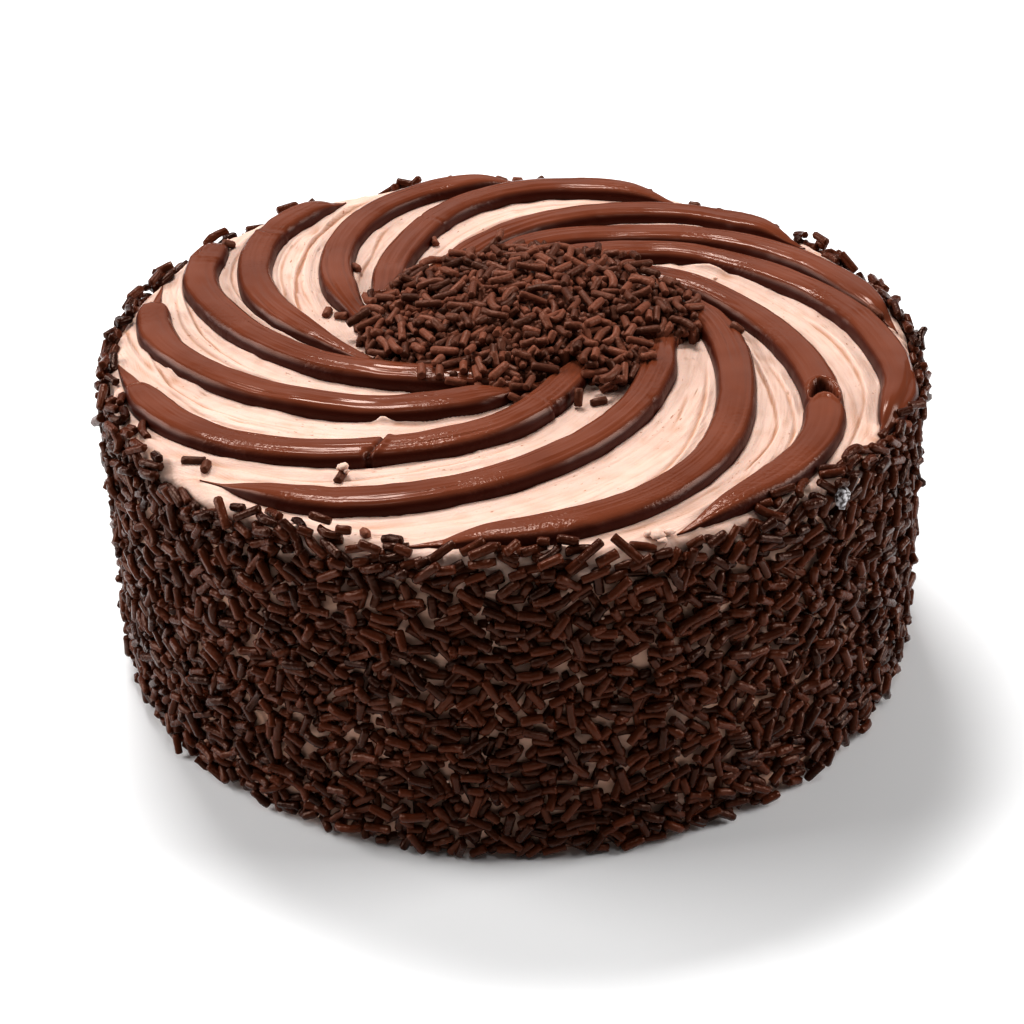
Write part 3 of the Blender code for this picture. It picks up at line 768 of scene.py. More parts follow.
def shape_stripe(line, place, across, up):
    """Half width, height over the plain top and share of the lit crown colour (the rest takes the flanks'
    painted shade), over a grid of places along the stripe and across it, with its creases, joins, notches,
    ripples and bubble."""
    number = line.number
    width, height = line.taper(place)
    height = np.maximum(height, LEAST_HEIGHT)
    half = HALF_WIDTH * np.maximum(width, LEAST_WIDTH) * np.ones_like(across)
    level = -SINK * height
    tall = level + (height * (RISE + 0.22 * HEIGHT_NOISE(place / 13, number * 3.3)) - level) * up
    crown = smooth((up - 0.55) / 0.35)
    for k, (spot, lift, spread) in enumerate(STRIPE_CREASES):
        drift = 0.09 * DRIFT_NOISE(place / 23 + 5 * k, number * 4.7 + k)
        show = smooth(0.55 + 1.1 * DRIFT_NOISE(place / 17 + 5 * k, number * 2.1 + 30))
        tall = tall + height * lift * show * inner_share(place) * bell(across - spot - drift, spread)
    tall = tall + 0.09 * crown * HEIGHT_NOISE(place / 5 + 20, across * 1.3 + number * 9)
    half = half * (1 + 0.025 * WIDTH_NOISE(place / 3.1 + 50, np.sign(across) * 5 + number * 3))
    # Share of the lit crown colour; below it the flanks take painted shade
    shade = smooth((up - 0.70) / 0.24) * np.ones_like(place)
    for spot, lift, spread, bowed, slant in rows_of(JOINS, number):
        mark = bell(place + bowed * (1 - across ** 2) + slant * across - line.place_of(spot), spread)
        tall = tall + lift * mark * crown
        half = half * (1 + 0.05 * np.sign(lift) * mark)
        # Deep joins take the flanks' painted shade in their grooves
        shade = shade * (1 - 0.6 * mark * (lift < -0.5))
    for side, spot, bite, spread in rows_of(NOTCHES, number):
        mark = bell(place - line.place_of(spot), spread) * smooth((side * -across + 0.1) / 0.6)
        half = half * (1 - bite * mark)
        tall = tall - 3.0 * bite * mark * crown * smooth((np.abs(across) - 0.35) / 0.5)
    for start, end, lift, wave in rows_of(RIPPLES, number):
        left = line.length - place
        window = smooth((start - left) / 6) * smooth((left - end) / 6)
        drift = 0.9 * DRIFT_NOISE(place / 5, number + 3.0)
        swell = 0.6 + 0.6 * WIDTH_NOISE(place / 6, number + 9.0)
        phase = math.tau * (place + RIPPLE_BOW * (1 - across ** 2) + drift) / wave
        tall = tall + lift * window * swell * crown * np.sin(phase)
    if number == BUBBLE_STRIPE:
        lift, widening, hole = burst_bubble(place - line.place_of(BUBBLE_PLACE), across, half)
        tall = tall + lift * crown
        half = half * widening
        # The bubble's hole takes the flanks' painted shade
        shade = shade * (1 - smooth(hole * 1.6))
    return half, tall, shade


def inner_share(place):
    """How strongly a stripe is lined: fully near the heap, half as much further out."""
    return 0.5 + 0.5 * smooth((60 - place) / 35)


def build_stripe(line, material):
    """One stripe, laid over the top and its rounded rim, with a keel below that closes it."""
    number = line.number
    places = np.linspace(-BURIED_ROOT, line.length, int((line.length + BURIED_ROOT) / STATION_STEP))
    place = places[:, None]
    across, up = section_curve().T[:, None]
    half, tall, shade = shape_stripe(line, place, across, up)
    points, ways = line.at(places)
    side = np.stack([-ways[:, 1], ways[:, 0]], axis=-1)
    flat = points[:, None] - side[:, None] * (half * across)[..., None]
    turn = np.arctan2(flat[..., 1], flat[..., 0])
    furthest = WALL_TOP - 0.4 - rim_inset(turn)
    tall = tall + TOP - rim_drop(np.minimum(np.hypot(flat[..., 0], flat[..., 1]), furthest), turn)
    drop = rim_drop(np.hypot(points[:, 0], points[:, 1]), np.arctan2(points[:, 1], points[:, 0]))
    height = np.maximum(line.taper(places)[1], LEAST_HEIGHT)
    under = TOP - (SINK + 0.25) * height - drop
    keel = np.concatenate([points, under[:, None]], axis=-1)[:, None]
    body = np.concatenate([np.concatenate([flat, tall[..., None]], axis=-1), keel], axis=1)
    stations, columns = body.shape[:2]
    faces = grid_faces(stations, columns)[:, ::-1]
    ends = [np.arange(columns)[None], (stations - 1) * columns + np.arange(columns)[None, ::-1]]
    item = make_mesh(f"ganache_{number:02d}", lean(body.reshape(-1, 3)), [faces, *ends], material)

    # Where the skin is wavy, the crown (lit colour and gloss, against the flanks' painted shade), the lined
    # inner stretch, and places along and across
    left = line.length - places
    skin = 0.8 * smooth(1.8 * DRIFT_NOISE(places / 12 + 3, number * 6.1))
    if number in WAVY_STRIPES:
        skin = np.maximum(skin, smooth((50 - left) / 14) * smooth((left - 3) / 5))
    add_attribute(item, "skin", np.repeat(skin, columns))
    add_attribute(item, "crown", np.append(shade, np.zeros((stations, 1)), axis=1).ravel())
    add_attribute(item, "inner", np.repeat(inner_share(places) * smooth((left - 12) / 20), columns))
    drawn = np.stack([place + 0 * half, half * across + SWEEP_APART * number, 0 * half], axis=-1)
    add_vector(item, "sweep", np.concatenate([drawn, drawn[:, :1]], axis=1))
    return item


# Sprinkles

CELL = 0.4
SIDE_TURN = math.tau * WALL_TOP
ROUND_LENGTH = math.pi / 2 * ROUNDING
WALL_LENGTH = TOP - ROUNDING
SIDE_MAP_TOP = WALL_LENGTH + ROUND_LENGTH + 16


class Ground:
    """Heights over a flat map that sprinkles are laid on, one after another."""

    def __init__(self, low, heights, closed):
        self.low = np.array(low, float)
        self.heights = heights
        self.closed = closed

    def under(self, ends):
        """Heights at seven places along each segment."""
        shares = np.linspace(0.04, 0.96, 7)[:, None]
        spots = ends[..., :1, :] + shares * (ends[..., 1:, :] - ends[..., :1, :])
        cells = np.rint((spots - self.low) / CELL).astype(int)
        columns, rows = self.heights.shape
        i = cells[..., 0] % columns if self.closed else np.clip(cells[..., 0], 0, columns - 1)
        return self.heights[i, np.clip(cells[..., 1], 0, rows - 1)]

    def lay(self, ends, rises, radius):
        """Raise the map to the top of a rod between two ends at their heights."""
        way = ends[1] - ends[0]
        reach = np.linalg.norm(way) / 2 + radius
        middle = ends.mean(axis=0) - self.low
        i, j = [np.arange(math.floor((spot - reach) / CELL), math.ceil((spot + reach) / CELL) + 1)
                for spot in middle]
        columns, rows = self.heights.shape
        j = j[(j >= 0) & (j < rows)]
        if not self.closed:
            i = i[(i >= 0) & (i < columns)]
        u = (i * CELL + self.low[0])[:, None] - ends[0, 0]
        v = (j * CELL + self.low[1])[None] - ends[0, 1]
        share = np.clip((u * way[0] + v * way[1]) / (way @ way), 0, 1)
        square = (u - share * way[0]) ** 2 + (v - share * way[1]) ** 2
        top = rises[0] + share * (rises[1] - rises[0]) + np.sqrt(np.maximum(radius ** 2 - square, 0))
        block = np.ix_(i % columns, j)
        old = self.heights[block]
        self.heights[block] = np.where(square < radius ** 2, np.maximum(old, top), old)


def draw_kinds(random, count):
    kinds = random.choice(len(KINDS), count, p=[share for share, _, _ in KINDS.values()])
    lengths = np.empty(count)
    for k, (_, low, high) in enumerate(KINDS.values()):
        lengths[kinds == k] = random.uniform(low, high, (kinds == k).sum())
    return kinds, lengths


def rest_heights(heights, radius, sunk, steepest, extra=0.0):
    """Heights of a rod's two ends that lie on the ground under each half."""
    first, last = np.array([heights[:4].max(), heights[3:].max()]) + radius * (1 - sunk)
    lift = np.clip(last - first, -steepest, steepest) + extra
    return (first + last) / 2 + np.array([-lift / 2, lift / 2])


def side_point(u, v, rise):
    """Point over the side, the rim or the top's edge: u runs round, v up and then inward."""
    angle = u / WALL_TOP
    inset = rim_inset(angle)
    wall = np.clip(v, 0, WALL_LENGTH)
    turn = np.clip((v - WALL_LENGTH) / ROUNDING, 0, math.pi / 2)
    inward = np.maximum(v - WALL_LENGTH - ROUND_LENGTH, 0)
    radius = np.where(v <= WALL_LENGTH, wall_radius(wall, angle),
                      WALL_TOP - inset - ROUNDING * (1 - np.cos(turn)) - inward)
    height = np.where(v <= WALL_LENGTH, np.maximum(v, 0), TOP - ROUNDING * (1 - np.sin(turn)))
    return polar_points(radius + rise * np.cos(turn), angle, height + rise * np.sin(turn))


def sprinkle_reach(angle):
    """How far past the top of the wall the side's sprinkles reach."""
    ragged = 0.9 * DRIFT_NOISE(angle * 7 + 20, 4.5) + 0.9 * DRIFT_NOISE(angle * 19 + 5, 8.5)
    angles, reaches = np.array(REACHES).T
    return np.interp(np.degrees(angle) % 360, angles, reaches) + ragged


def draw_side_places(random, on_rim):
    """Places round the side and up it, and tilts, for one sprinkle to choose from."""
    around = random.uniform(0, SIDE_TURN, SIDE_TRIES)
    reach = WALL_LENGTH + sprinkle_reach(around / WALL_TOP)
    up = SIDE_LOWEST + (reach - SIDE_LOWEST) * random.random(SIDE_TRIES)
    near_level = random.random(SIDE_TRIES) < NEAR_LEVEL_SHARE
    tilt = np.where(near_level, random.normal(0, 0.5, SIDE_TRIES),
                    random.uniform(-1.5, 1.5, SIDE_TRIES))
    if on_rim:
        up = reach + random.normal(-0.3, 1.1, SIDE_TRIES)
        tilt = random.normal(0, 0.75, SIDE_TRIES)
    return around, up, tilt


def near_gap(middle, gaps, reach):
    """Whether each place is within reach of a bare gap; the side closes on itself."""
    apart = np.abs(middle[:, None] - gaps[None])
    apart[..., 0] = np.minimum(apart[..., 0], SIDE_TURN - apart[..., 0])
    return (np.hypot(apart[..., 0], apart[..., 1]) < reach[None]).any(axis=1)


def lay_side(random):
    """Ends in 3-D, kinds and radii of the sprinkles on the side and over the rim."""
    u, v = np.meshgrid(np.arange(round(SIDE_TURN / CELL)) * CELL,
                       np.arange(round(SIDE_MAP_TOP / CELL)) * CELL, indexing="ij")
    edge = side_point(u, v, 0 * u)
    stripes = ganache_height(*SWIRL.read(edge[..., 0], edge[..., 1]))
    relief = np.where(stripes > 0, stripes, top_relief(edge[..., 0], edge[..., 1]))
    ground = Ground((0, 0), smooth((v - WALL_LENGTH) / ROUND_LENGTH) * relief, closed=True)
    gaps = np.stack([random.uniform(0, SIDE_TURN, GAP_COUNT),
                     random.uniform(4, WALL_LENGTH - 2, GAP_COUNT)], axis=1)
    gap_reach = random.uniform(*GAP_REACH, GAP_COUNT)
    total = SIDE_COUNT + RIM_COUNT
    kinds, lengths = draw_kinds(random, total)
    radii = SPRINKLE_RADIUS * random.uniform(*THICKNESS, total)
    ends = np.empty((total, 2, 3))
    laid = []
    for k in range(total):
        around, up, tilt = draw_side_places(random, k >= SIDE_COUNT)
        half = lengths[k] / 2
        over_rim = up + np.abs(np.sin(tilt)) * half > WALL_LENGTH + 1
        tilt = np.where(over_rim, tilt * RIM_TILT, tilt)
        lowest = np.abs(np.sin(tilt)) * half + radii[k] + 0.15
        middle = np.stack([around, np.maximum(up, lowest)], axis=1)
        way = np.stack([np.cos(tilt), np.sin(tilt)], axis=1) * half
        pairs = np.stack([middle - way, middle + way], axis=1)
        found = ground.under(pairs)
        score = found.mean(axis=1) + 0.5 * found.max(axis=1)
        in_gap = near_gap(middle, gaps, gap_reach + 0.25 * lengths[k])
        score = score + 1.6 * in_gap * (random.random(SIDE_TRIES) < GAP_KEPT)
        best = int(np.argmin(score))
        pair = pairs[best]
        rises = rest_heights(found[best], radii[k], random.uniform(*SIDE_SUNK), 1.6,
                             random.normal(0, 0.45))
        if pair[:, 1].max() < WALL_LENGTH - 2 and random.random() < SIDE_STICK_OUT:
            lift = random.choice((-1, 1)) * random.uniform(1.5, 3.0)
            rises = rises.mean() + np.array([-lift / 2, lift / 2])
        ground.lay(pair, rises, radii[k])
        laid.append((pair, rises.max() + radii[k]))
        ends[k] = side_point(pair[:, 0], pair[:, 1], rises)
        ends[k, :, 2] = np.maximum(ends[k, :, 2], radii[k])
    seen = np.array([(ground.under(pair) - top).min() < BURIED_DEPTH for pair, top in laid])
    return ends[seen], kinds[seen], radii[seen]


def heap_outline(angle):
    """Radius of the heap's foot about its centre."""
    angles, radii = np.array(HEAP_OUTLINE).T
    rough = 0.8 * DRIFT_NOISE(np.remainder(angle, math.tau) * 4 + 3, 6.5)
    return np.interp(np.degrees(angle) % 360, angles, radii) + rough


def heap_surface(x, y):
    """Height of the heap's outside over the plain top; far below it past the outline."""
    dx = x - HEAP_CENTRE[0]
    dy = y - HEAP_CENTRE[1]
    angle = np.arctan2(dy, dx)
    share = np.hypot(dx, dy) / heap_outline(angle)
    edge = HEAP_EDGE_RISE + 1.4 * np.cos(angle - math.radians(70))
    rise = edge + (HEAP_RISE - edge) * np.clip(1 - share ** 2, 0, 1) ** 0.75
    return np.where(share < 1, rise, rise - 8 * (share - 1) * HEAP_RADIUS / 4)


def heap_ground():
    """The bare top under the heap and round it, with the heap's core on it."""
    reach = HEAP_RADIUS + 14
    low = np.array(HEAP_CENTRE) - reach
    side = np.arange(0, 2 * reach, CELL)
    x, y = np.meshgrid(low[0] + side, low[1] + side, indexing="ij")
    core = heap_surface(x, y) - HEAP_CORE_DEPTH
    return Ground(low, np.maximum(covered_top(x, y), core), closed=False)


def lay_heap(random):
    """Ends in 3-D, kinds and radii of the sprinkles in the heap."""
    ground = heap_ground()
    kinds, lengths = draw_kinds(random, HEAP_COUNT)
    lengths = lengths * HEAP_LONGER
    radii = HEAP_SPRINKLE_RADIUS * random.uniform(*THICKNESS, HEAP_COUNT)
    ends = np.empty((HEAP_COUNT, 2, 3))
    for k in range(HEAP_COUNT):
        spread = HEAP_REACH * np.sqrt(random.random(HEAP_TRIES))
        angle = random.uniform(0, math.tau, HEAP_TRIES)
        middle = np.stack([HEAP_CENTRE[0] + spread * np.cos(angle),
                           HEAP_CENTRE[1] + spread * np.sin(angle)], axis=1)
        turn = random.uniform(0, math.tau, HEAP_TRIES)
        pitch = 0.0
        if random.random() < HEAP_STANDING:
            pitch = math.radians(random.uniform(25, 86))
        way = np.stack([np.cos(turn), np.sin(turn)], axis=1) * lengths[k] / 2 * math.cos(pitch)
        pairs = np.stack([middle - way, middle + way], axis=1)
        found = ground.under(pairs)
        wanted = heap_surface(middle[:, 0], middle[:, 1])
        score = found.mean(axis=1) + 0.4 * found.max(axis=1) - 1.4 * wanted
        best = int(np.argmin(score))
        rises = rest_heights(found[best], radii[k], 0.12, 2.6, random.normal(0, 0.35))
        if pitch:
            top = found[best].max() + random.uniform(-0.3, 1.0)
            rises = np.array([top - lengths[k] * math.sin(pitch), top])
        ground.lay(pairs[best], rises, radii[k])
        ends[k] = np.column_stack([pairs[best], TOP + rises])
    return ends, kinds, radii


def lay_strays():
    """Ends in 3-D, kinds and radii of the sprinkles that fell on the top."""
    ends = []
    for x, y, degrees, pitch, length in LONG_STRAYS + SHORT_STRAYS:
        turn = math.radians(degrees)
        pitch = math.radians(pitch)
        way = np.array([math.cos(turn), math.sin(turn)]) * length / 2 * math.cos(pitch)
        places = np.array([x, y]) + np.outer(np.linspace(-1, 1, 7), way)
        rises = rest_heights(covered_top(*places.T), SPRINKLE_RADIUS, 0.5, 2.0)
        drop = rim_drop(np.hypot(x, y), math.atan2(y, x))
        rises = rises - drop + np.array([0, length * math.sin(pitch)])
        ends.append(np.column_stack([places[[0, -1]], TOP + rises]))
    kinds = [KIND_NAMES.index("long")] * len(LONG_STRAYS) + [KIND_NAMES.index("short")] * len(SHORT_STRAYS)
    return np.array(ends), np.array(kinds), np.full(len(ends), SPRINKLE_RADIUS)


def rods(name, ends, radii, bent, random, material):
    """One joined mesh of rods with blunt, slightly rounded and uneven ends."""
    count = len(ends)
    way = ends[:, 1] - ends[:, 0]
    length = np.linalg.norm(way, axis=1)
    way /= length[:, None]
    helper = np.where(np.abs(way[:, 2:3]) < 0.8, np.array([[0, 0, 1.0]]), np.array([[1.0, 0, 0]]))
    side = np.cross(way, helper)
    side /= np.linalg.norm(side, axis=1)[:, None]
    up = np.cross(side, way)
    tip = radii * random.uniform(0.10, 0.26, count)
    neck = radii * random.uniform(0.4, 0.7, count)
    middles = [length * 0.36, length * 0.64] if bent else []
    places = np.stack([np.zeros(count), tip, neck + tip, *middles,
                       length - neck - tip, length - tip, length], axis=1)
    places.sort(axis=1)
    sizes = np.array([*END_SIZES, *[1.0] * len(middles), *END_SIZES[::-1]])
    rings = len(sizes)
    sizes = sizes[None] * random.uniform(0.90, 1.08, (count, rings))
    share = places / length[:, None] * 2 - 1
    bow = np.zeros(count)
    if bent:
        bow = random.uniform(0.07, 0.20, count) * length * random.choice((-1, 1), count)
    bow_turn = random.normal(0, 0.35, count)
    bow_way = side * np.cos(bow_turn)[:, None] + up * np.abs(np.sin(bow_turn))[:, None]
    centre = ends[:, :1] + way[:, None] * places[..., None]
    centre = centre + bow_way[:, None] * (bow[:, None] * (0.6 - share ** 2))[..., None]
    start = random.uniform(0, math.tau, count)
    around = start[:, None] + math.tau * np.arange(SPRINKLE_SIDES) / SPRINKLE_SIDES
    spoke = side[:, None] * np.cos(around)[..., None] + up[:, None] * np.sin(around)[..., None]
    size = radii[:, None, None] * sizes[..., None]
    size = size * random.uniform(0.95, 1.05, (count, rings, SPRINKLE_SIDES))
    points = centre[:, :, None] + spoke[:, None] * size[..., None]
    offset = np.arange(count)[:, None] * rings * SPRINKLE_SIDES
    quads = np.roll(grid_faces(rings, SPRINKLE_SIDES)[:, ::-1], 1, axis=1)
    quads = (quads[None] + offset[..., None]).reshape(-1, 4)
    first = offset + np.arange(SPRINKLE_SIDES)
    last = (first + (rings - 1) * SPRINKLE_SIDES)[:, ::-1]
    item = make_mesh(name, lean(points.reshape(-1, 3)), [quads, first, last], material)
    add_attribute(item, "tone", np.repeat(random.uniform(0, 1, count), rings * SPRINKLE_SIDES))
    return item


def build_sprinkles(name, laid, random, material):
    """One piece for each kind."""
    ends, kinds, radii = laid
    pieces = []
    for k, kind in enumerate(KIND_NAMES):
        chosen = kinds == k
        if chosen.any():
            bent = kind == "bent"
            pieces.append(rods(f"{name}_{kind}", ends[chosen], radii[chosen], bent, random, material))
    return pieces


def lumpy_ball(random):
    """Points and triangles of an uneven ball with 42 points."""
    golden = (1 + math.sqrt(5)) / 2
    corners = [(float(a), b * golden, 0) for a in (-1, 1) for b in (-1, 1)]
    turned = [(0, a, b) for a, b, _ in corners] + [(b, 0, a) for a, b, _ in corners]
    corners = np.array(corners + turned)
    near = [np.argsort(np.linalg.norm(corners - corner, axis=1))[1:6] for corner in corners]
    triangles = {tuple(sorted((i, j, k))) for i in range(len(corners)) for j in near[i]
                 for k in near[j] if k in near[i]}
    points = list(corners / np.linalg.norm(corners[0]))
    middles = {}
    faces = []
    for triangle in sorted(triangles):
        inside = []
        for a, b in ((0, 1), (1, 2), (2, 0)):
            pair = tuple(sorted((triangle[a], triangle[b])))
            if pair not in middles:
                middle = points[pair[0]] + points[pair[1]]
                middles[pair] = len(points)
                points.append(middle / np.linalg.norm(middle))
            inside.append(middles[pair])
        i, j, k = triangle
        p, q, r = inside
        faces += [(i, p, r), (p, j, q), (r, q, k), (p, q, r)]
    points = np.array(points)
    faces = np.array(faces)
    normal = np.cross(points[faces[:, 1]] - points[faces[:, 0]], points[faces[:, 2]] - points[faces[:, 0]])
    inward = (normal * points[faces[:, 0]]).sum(1) < 0
    faces[inward] = faces[inward][:, ::-1]
    return points * random.uniform(0.72, 1.15, (len(points), 1)), faces


def build_crumbs(name, places, random, material):
    """One joined mesh of uneven crumbs at places with their half sizes along x, y and z."""
    points = []
    faces = []
    for x, y, z, *sizes in places:
        ball, triangles = lumpy_ball(random)
        turn = random.uniform(0, math.tau)
        spin = np.array(Matrix.Rotation(turn, 3, "Z"))
        faces.append(triangles + len(ball) * len(points))
        points.append((ball @ spin) * sizes + (x, y, z))
    return make_mesh(name, lean(np.concatenate(points)), [np.concatenate(faces)], material)


def pale_crumb_places(random):
    """The pale crumbs that show on the top, and flecks scattered over the side."""
    places = []
    for x, y, size in TOP_CRUMBS:
        height = TOP + float(top_relief(np.array([x]), np.array([y]))[0])
        places.append((x, y, height + 0.35 * size, size, size * 0.8, size * 0.6))
    for x, y, rise, size in RAISED_CRUMBS:
        places.append((x, y, TOP + rise, size, size * 0.9, size * 0.8))
    for _ in range(FLECK_COUNT):
        around = random.uniform(0, SIDE_TURN)
        up = random.uniform(3, WALL_LENGTH)
        spot = side_point(around, up, random.uniform(*FLECK_RISE))
        size = random.uniform(*FLECK_SIZE)
        places.append((*spot, size, size, size * 0.8))
    return places


def build_heap_core(material):
    """Lumpy mass under the heap's showing sprinkles, dark with painted shade for the gaps between them."""
    share = np.linspace(0.0, 1.0, CORE_RINGS)[1:, None] * CORE_SHARE
    angle = math.tau * np.arange(CORE_COLUMNS)[None] / CORE_COLUMNS
    radius = share * heap_outline(angle)
    x = HEAP_CENTRE[0] + radius * np.cos(angle)
    y = HEAP_CENTRE[1] + radius * np.sin(angle)
    rise = np.maximum(heap_surface(x, y) - HEAP_CORE_DEPTH, -0.6) + 0.35 * LUMP_NOISE(x / 1.4, y / 1.4)
    rise = np.where(share > 0.9, -CORE_SUNK, rise)
    points = np.stack([x, y, TOP + rise], axis=-1).reshape(-1, 3)
    middles = [[*HEAP_CENTRE, TOP + HEAP_RISE - HEAP_CORE_DEPTH], [*HEAP_CENTRE, TOP - CORE_SUNK]]
    lid = fan(len(points), 0, CORE_COLUMNS)
    base = fan(len(points) + 1, len(points) - CORE_COLUMNS, CORE_COLUMNS, turned=True)
    faces = grid_faces(len(share), CORE_COLUMNS)[:, ::-1]
    return make_mesh("heap_core", lean(np.concatenate([points, middles])), [faces, lid, base], material)


# Materials, with their colours as linear red, green and blue

WHITE = (1, 1, 1)
BLACK = (0, 0, 0)
CREAM_DARK = (0.700, 0.470, 0.376)
CREAM_LIGHT = (0.768, 0.538, 0.440)
CREAM_STREAK = (0.86, 0.80, 0.76)
# Painted shade of the buttercream's hollows, skirt and side
CREAM_PAINTED_SHADE = (0.50, 0.235, 0.125)
CREAM_SPECK = (0.44, 0.20, 0.12)
GANACHE_DARK = (0.140, 0.034, 0.014)
GANACHE_LIGHT = (0.185, 0.050, 0.023)
# Painted shade of the stripes' flanks
GANACHE_FLANK_SHADE = (0.044, 0.0050, 0.0015)
GANACHE_TINT = (1.0, 0.74, 0.62)
SPRINKLE_TINT = (1.0, 0.62, 0.45)
# The side's sprinkles: the heap's chocolate made darker, painted shade of the shaded side
SIDE_SHADED_TONES = ((0.014, 0.0020, 0.0006), (0.082, 0.0175, 0.0062))
HEAP_TONES = ((0.045, 0.0115, 0.0050), (0.180, 0.056, 0.030))


def new_material(name, colour, roughness):
    material = bpy.data.materials.new(name)
    material.use_nodes = True
    shader = material.node_tree.nodes["Principled BSDF"]
    shader.inputs["Base Color"].default_value = (*colour, 1)
    shader.inputs["Roughness"].default_value = roughness
    return material, material.node_tree, shader


def add_node(tree, kind, **values):
    """Node with its settings and inputs by name, _ for a space; an output given is linked."""
    node = tree.nodes.new(kind)
    for name, value in values.items():
        if hasattr(node, name):
            setattr(node, name, value)
        else:
            put(tree, value, node.inputs[name.replace("_", " ")])
    return node


def put(tree, value, socket):
    """Link an output to the socket, or set it to a number, a vector or an RGB colour."""
    if isinstance(value, bpy.types.NodeSocket):
        tree.links.new(value, socket)
    elif socket.type == "RGBA":
        socket.default_value = (*value, 1)
    else:
        socket.default_value = value


def attribute(tree, name, output="Fac"):
    return add_node(tree, "ShaderNodeAttribute", attribute_name=name).outputs[output]


def arithmetic(tree, operation, *values):
    node = add_node(tree, "ShaderNodeMath", operation=operation)
    for socket, value in zip(node.inputs, values):
        put(tree, value, socket)
    return node.outputs[0]


def object_noise(tree, scale, detail):
    """Noise over the object's own coordinates, in cells a metre."""
    place = add_node(tree, "ShaderNodeTexCoord").outputs["Object"]
    return add_node(tree, "ShaderNodeTexNoise", Vector=place, Scale=scale, Detail=detail).outputs["Fac"]


def sweep_noise(tree, stretch, detail):
    """Noise stretched along the sweep of the spatula, from the places stored on the mesh."""
    place = attribute(tree, "sweep", "Vector")
    place = add_node(tree, "ShaderNodeMapping", Vector=place, Scale=stretch).outputs["Vector"]
    return add_node(tree, "ShaderNodeTexNoise", Vector=place, Scale=1.0, Detail=detail).outputs["Fac"]


def colour_ramp(tree, source, *stops):
    """Two colours and all between them, from the places where they are pure."""
    ramp = add_node(tree, "ShaderNodeValToRGB", Fac=source)
    for element, (place, colour) in zip(ramp.color_ramp.elements, stops):
        element.position = place
        element.color = (*colour, 1)
    return ramp.outputs["Color"]


def mix_colours(tree, share, first, second, blend="MIX"):
    mix = add_node(tree, "ShaderNodeMix", data_type="RGBA", blend_type=blend, Factor=share)
    put(tree, first, mix.inputs[6])
    put(tree, second, mix.inputs[7])
    return mix.outputs[2]


def add_bump(tree, shader, layers):
    """Chain of bumps, each a height output with its strength and depth in millimetres."""
    normal = None
    for height, strength, depth in layers:
        bump = add_node(tree, "ShaderNodeBump", Height=height, Strength=strength, Distance=depth * MM)
        if normal:
            tree.links.new(normal, bump.inputs["Normal"])
        normal = bump.outputs["Normal"]
    tree.links.new(normal, shader.inputs["Normal"])


def set_gloss(shader, level, tint=(1.0, 1.0, 1.0)):
    shader.inputs["Specular IOR Level"].default_value = level
    shader.inputs["Specular Tint"].default_value = (*tint, 1)


def buttercream_material():
    """Pale, streaked along the sweep, with dark specks, and browner with painted shade in its hollows,
    below the rim and on the side.
    """
    material, tree, shader = new_material("mocha_buttercream", (0.84, 0.58, 0.44), 0.55)
    base = colour_ramp(tree, object_noise(tree, 60, 3), (0.3, CREAM_DARK), (0.7, CREAM_LIGHT))
    streak = sweep_noise(tree, (0.06, 0.9, 1.0), 3)
    streaks = colour_ramp(tree, streak, (0.30, CREAM_STREAK), (0.52, WHITE))
    colour = mix_colours(tree, 0.80, base, streaks, "MULTIPLY")
    # Painted shade, browner, in the hollows, below the rim and on the side
    deep = arithmetic(tree, "MULTIPLY", attribute(tree, "painted_shade"), 0.85)
    colour = mix_colours(tree, deep, colour, CREAM_PAINTED_SHADE)
    speck = sweep_noise(tree, (0.55, 1.25, 1.0), 2)
    spotty = arithmetic(tree, "MULTIPLY_ADD", object_noise(tree, 55, 2), 0.35, speck)
    specks = colour_ramp(tree, spotty, (0.872, BLACK), (0.925, WHITE))
    colour = mix_colours(tree, specks, colour, CREAM_SPECK)
    tree.links.new(colour, shader.inputs["Base Color"])
    set_gloss(shader, 0.4)
    shader.inputs["Subsurface Weight"].default_value = 0.15
    shader.inputs["Subsurface Radius"].default_value = (1.0, 0.5, 0.3)
    shader.inputs["Subsurface Scale"].default_value = 1.6 * MM
    brushed = sweep_noise(tree, (0.10, 2.2, 1.0), 3)
    add_bump(tree, shader, [(object_noise(tree, 350, 3), 0.5, 0.30), (brushed, 0.6, 0.18),
                            (object_noise(tree, 1500, 3), 0.7, 0.18), (specks, -0.8, 0.35)])
    return material


def ganache_material():
    """Satin skin on the crown; duller down the sides, and darker there with painted shade."""
    material, tree, shader = new_material("chocolate_ganache", (0.12, 0.030, 0.012), 0.26)
    cloud = object_noise(tree, 45, 3)
    skin = colour_ramp(tree, cloud, (0.3, GANACHE_DARK), (0.7, GANACHE_LIGHT))
    crown = attribute(tree, "crown")
    # Lit crown colour against the flanks' painted shade
    colour = mix_colours(tree, crown, GANACHE_FLANK_SHADE, skin)
    tree.links.new(colour, shader.inputs["Base Color"])
    set_gloss(shader, 0.19, GANACHE_TINT)
    satin = add_node(tree, "ShaderNodeMapRange", Value=object_noise(tree, 120, 2),
                     From_Min=0.3, From_Max=0.7, To_Min=0.12, To_Max=0.22)
    rough = add_node(tree, "ShaderNodeMapRange", Value=crown, To_Min=0.40, To_Max=satin.outputs["Result"])
    tree.links.new(rough.outputs["Result"], shader.inputs["Roughness"])
    wavy = arithmetic(tree, "MULTIPLY", object_noise(tree, 900, 3), attribute(tree, "skin"))
    lines = sweep_noise(tree, (0.03, 0.8, 1.0), 1)
    lined = arithmetic(tree, "MULTIPLY", lines, attribute(tree, "inner"))
    add_bump(tree, shader, [(object_noise(tree, 180, 2), 0.25, 0.25), (lined, 0.55, 0.7),
                            (wavy, 0.5, 0.40)])
    return material


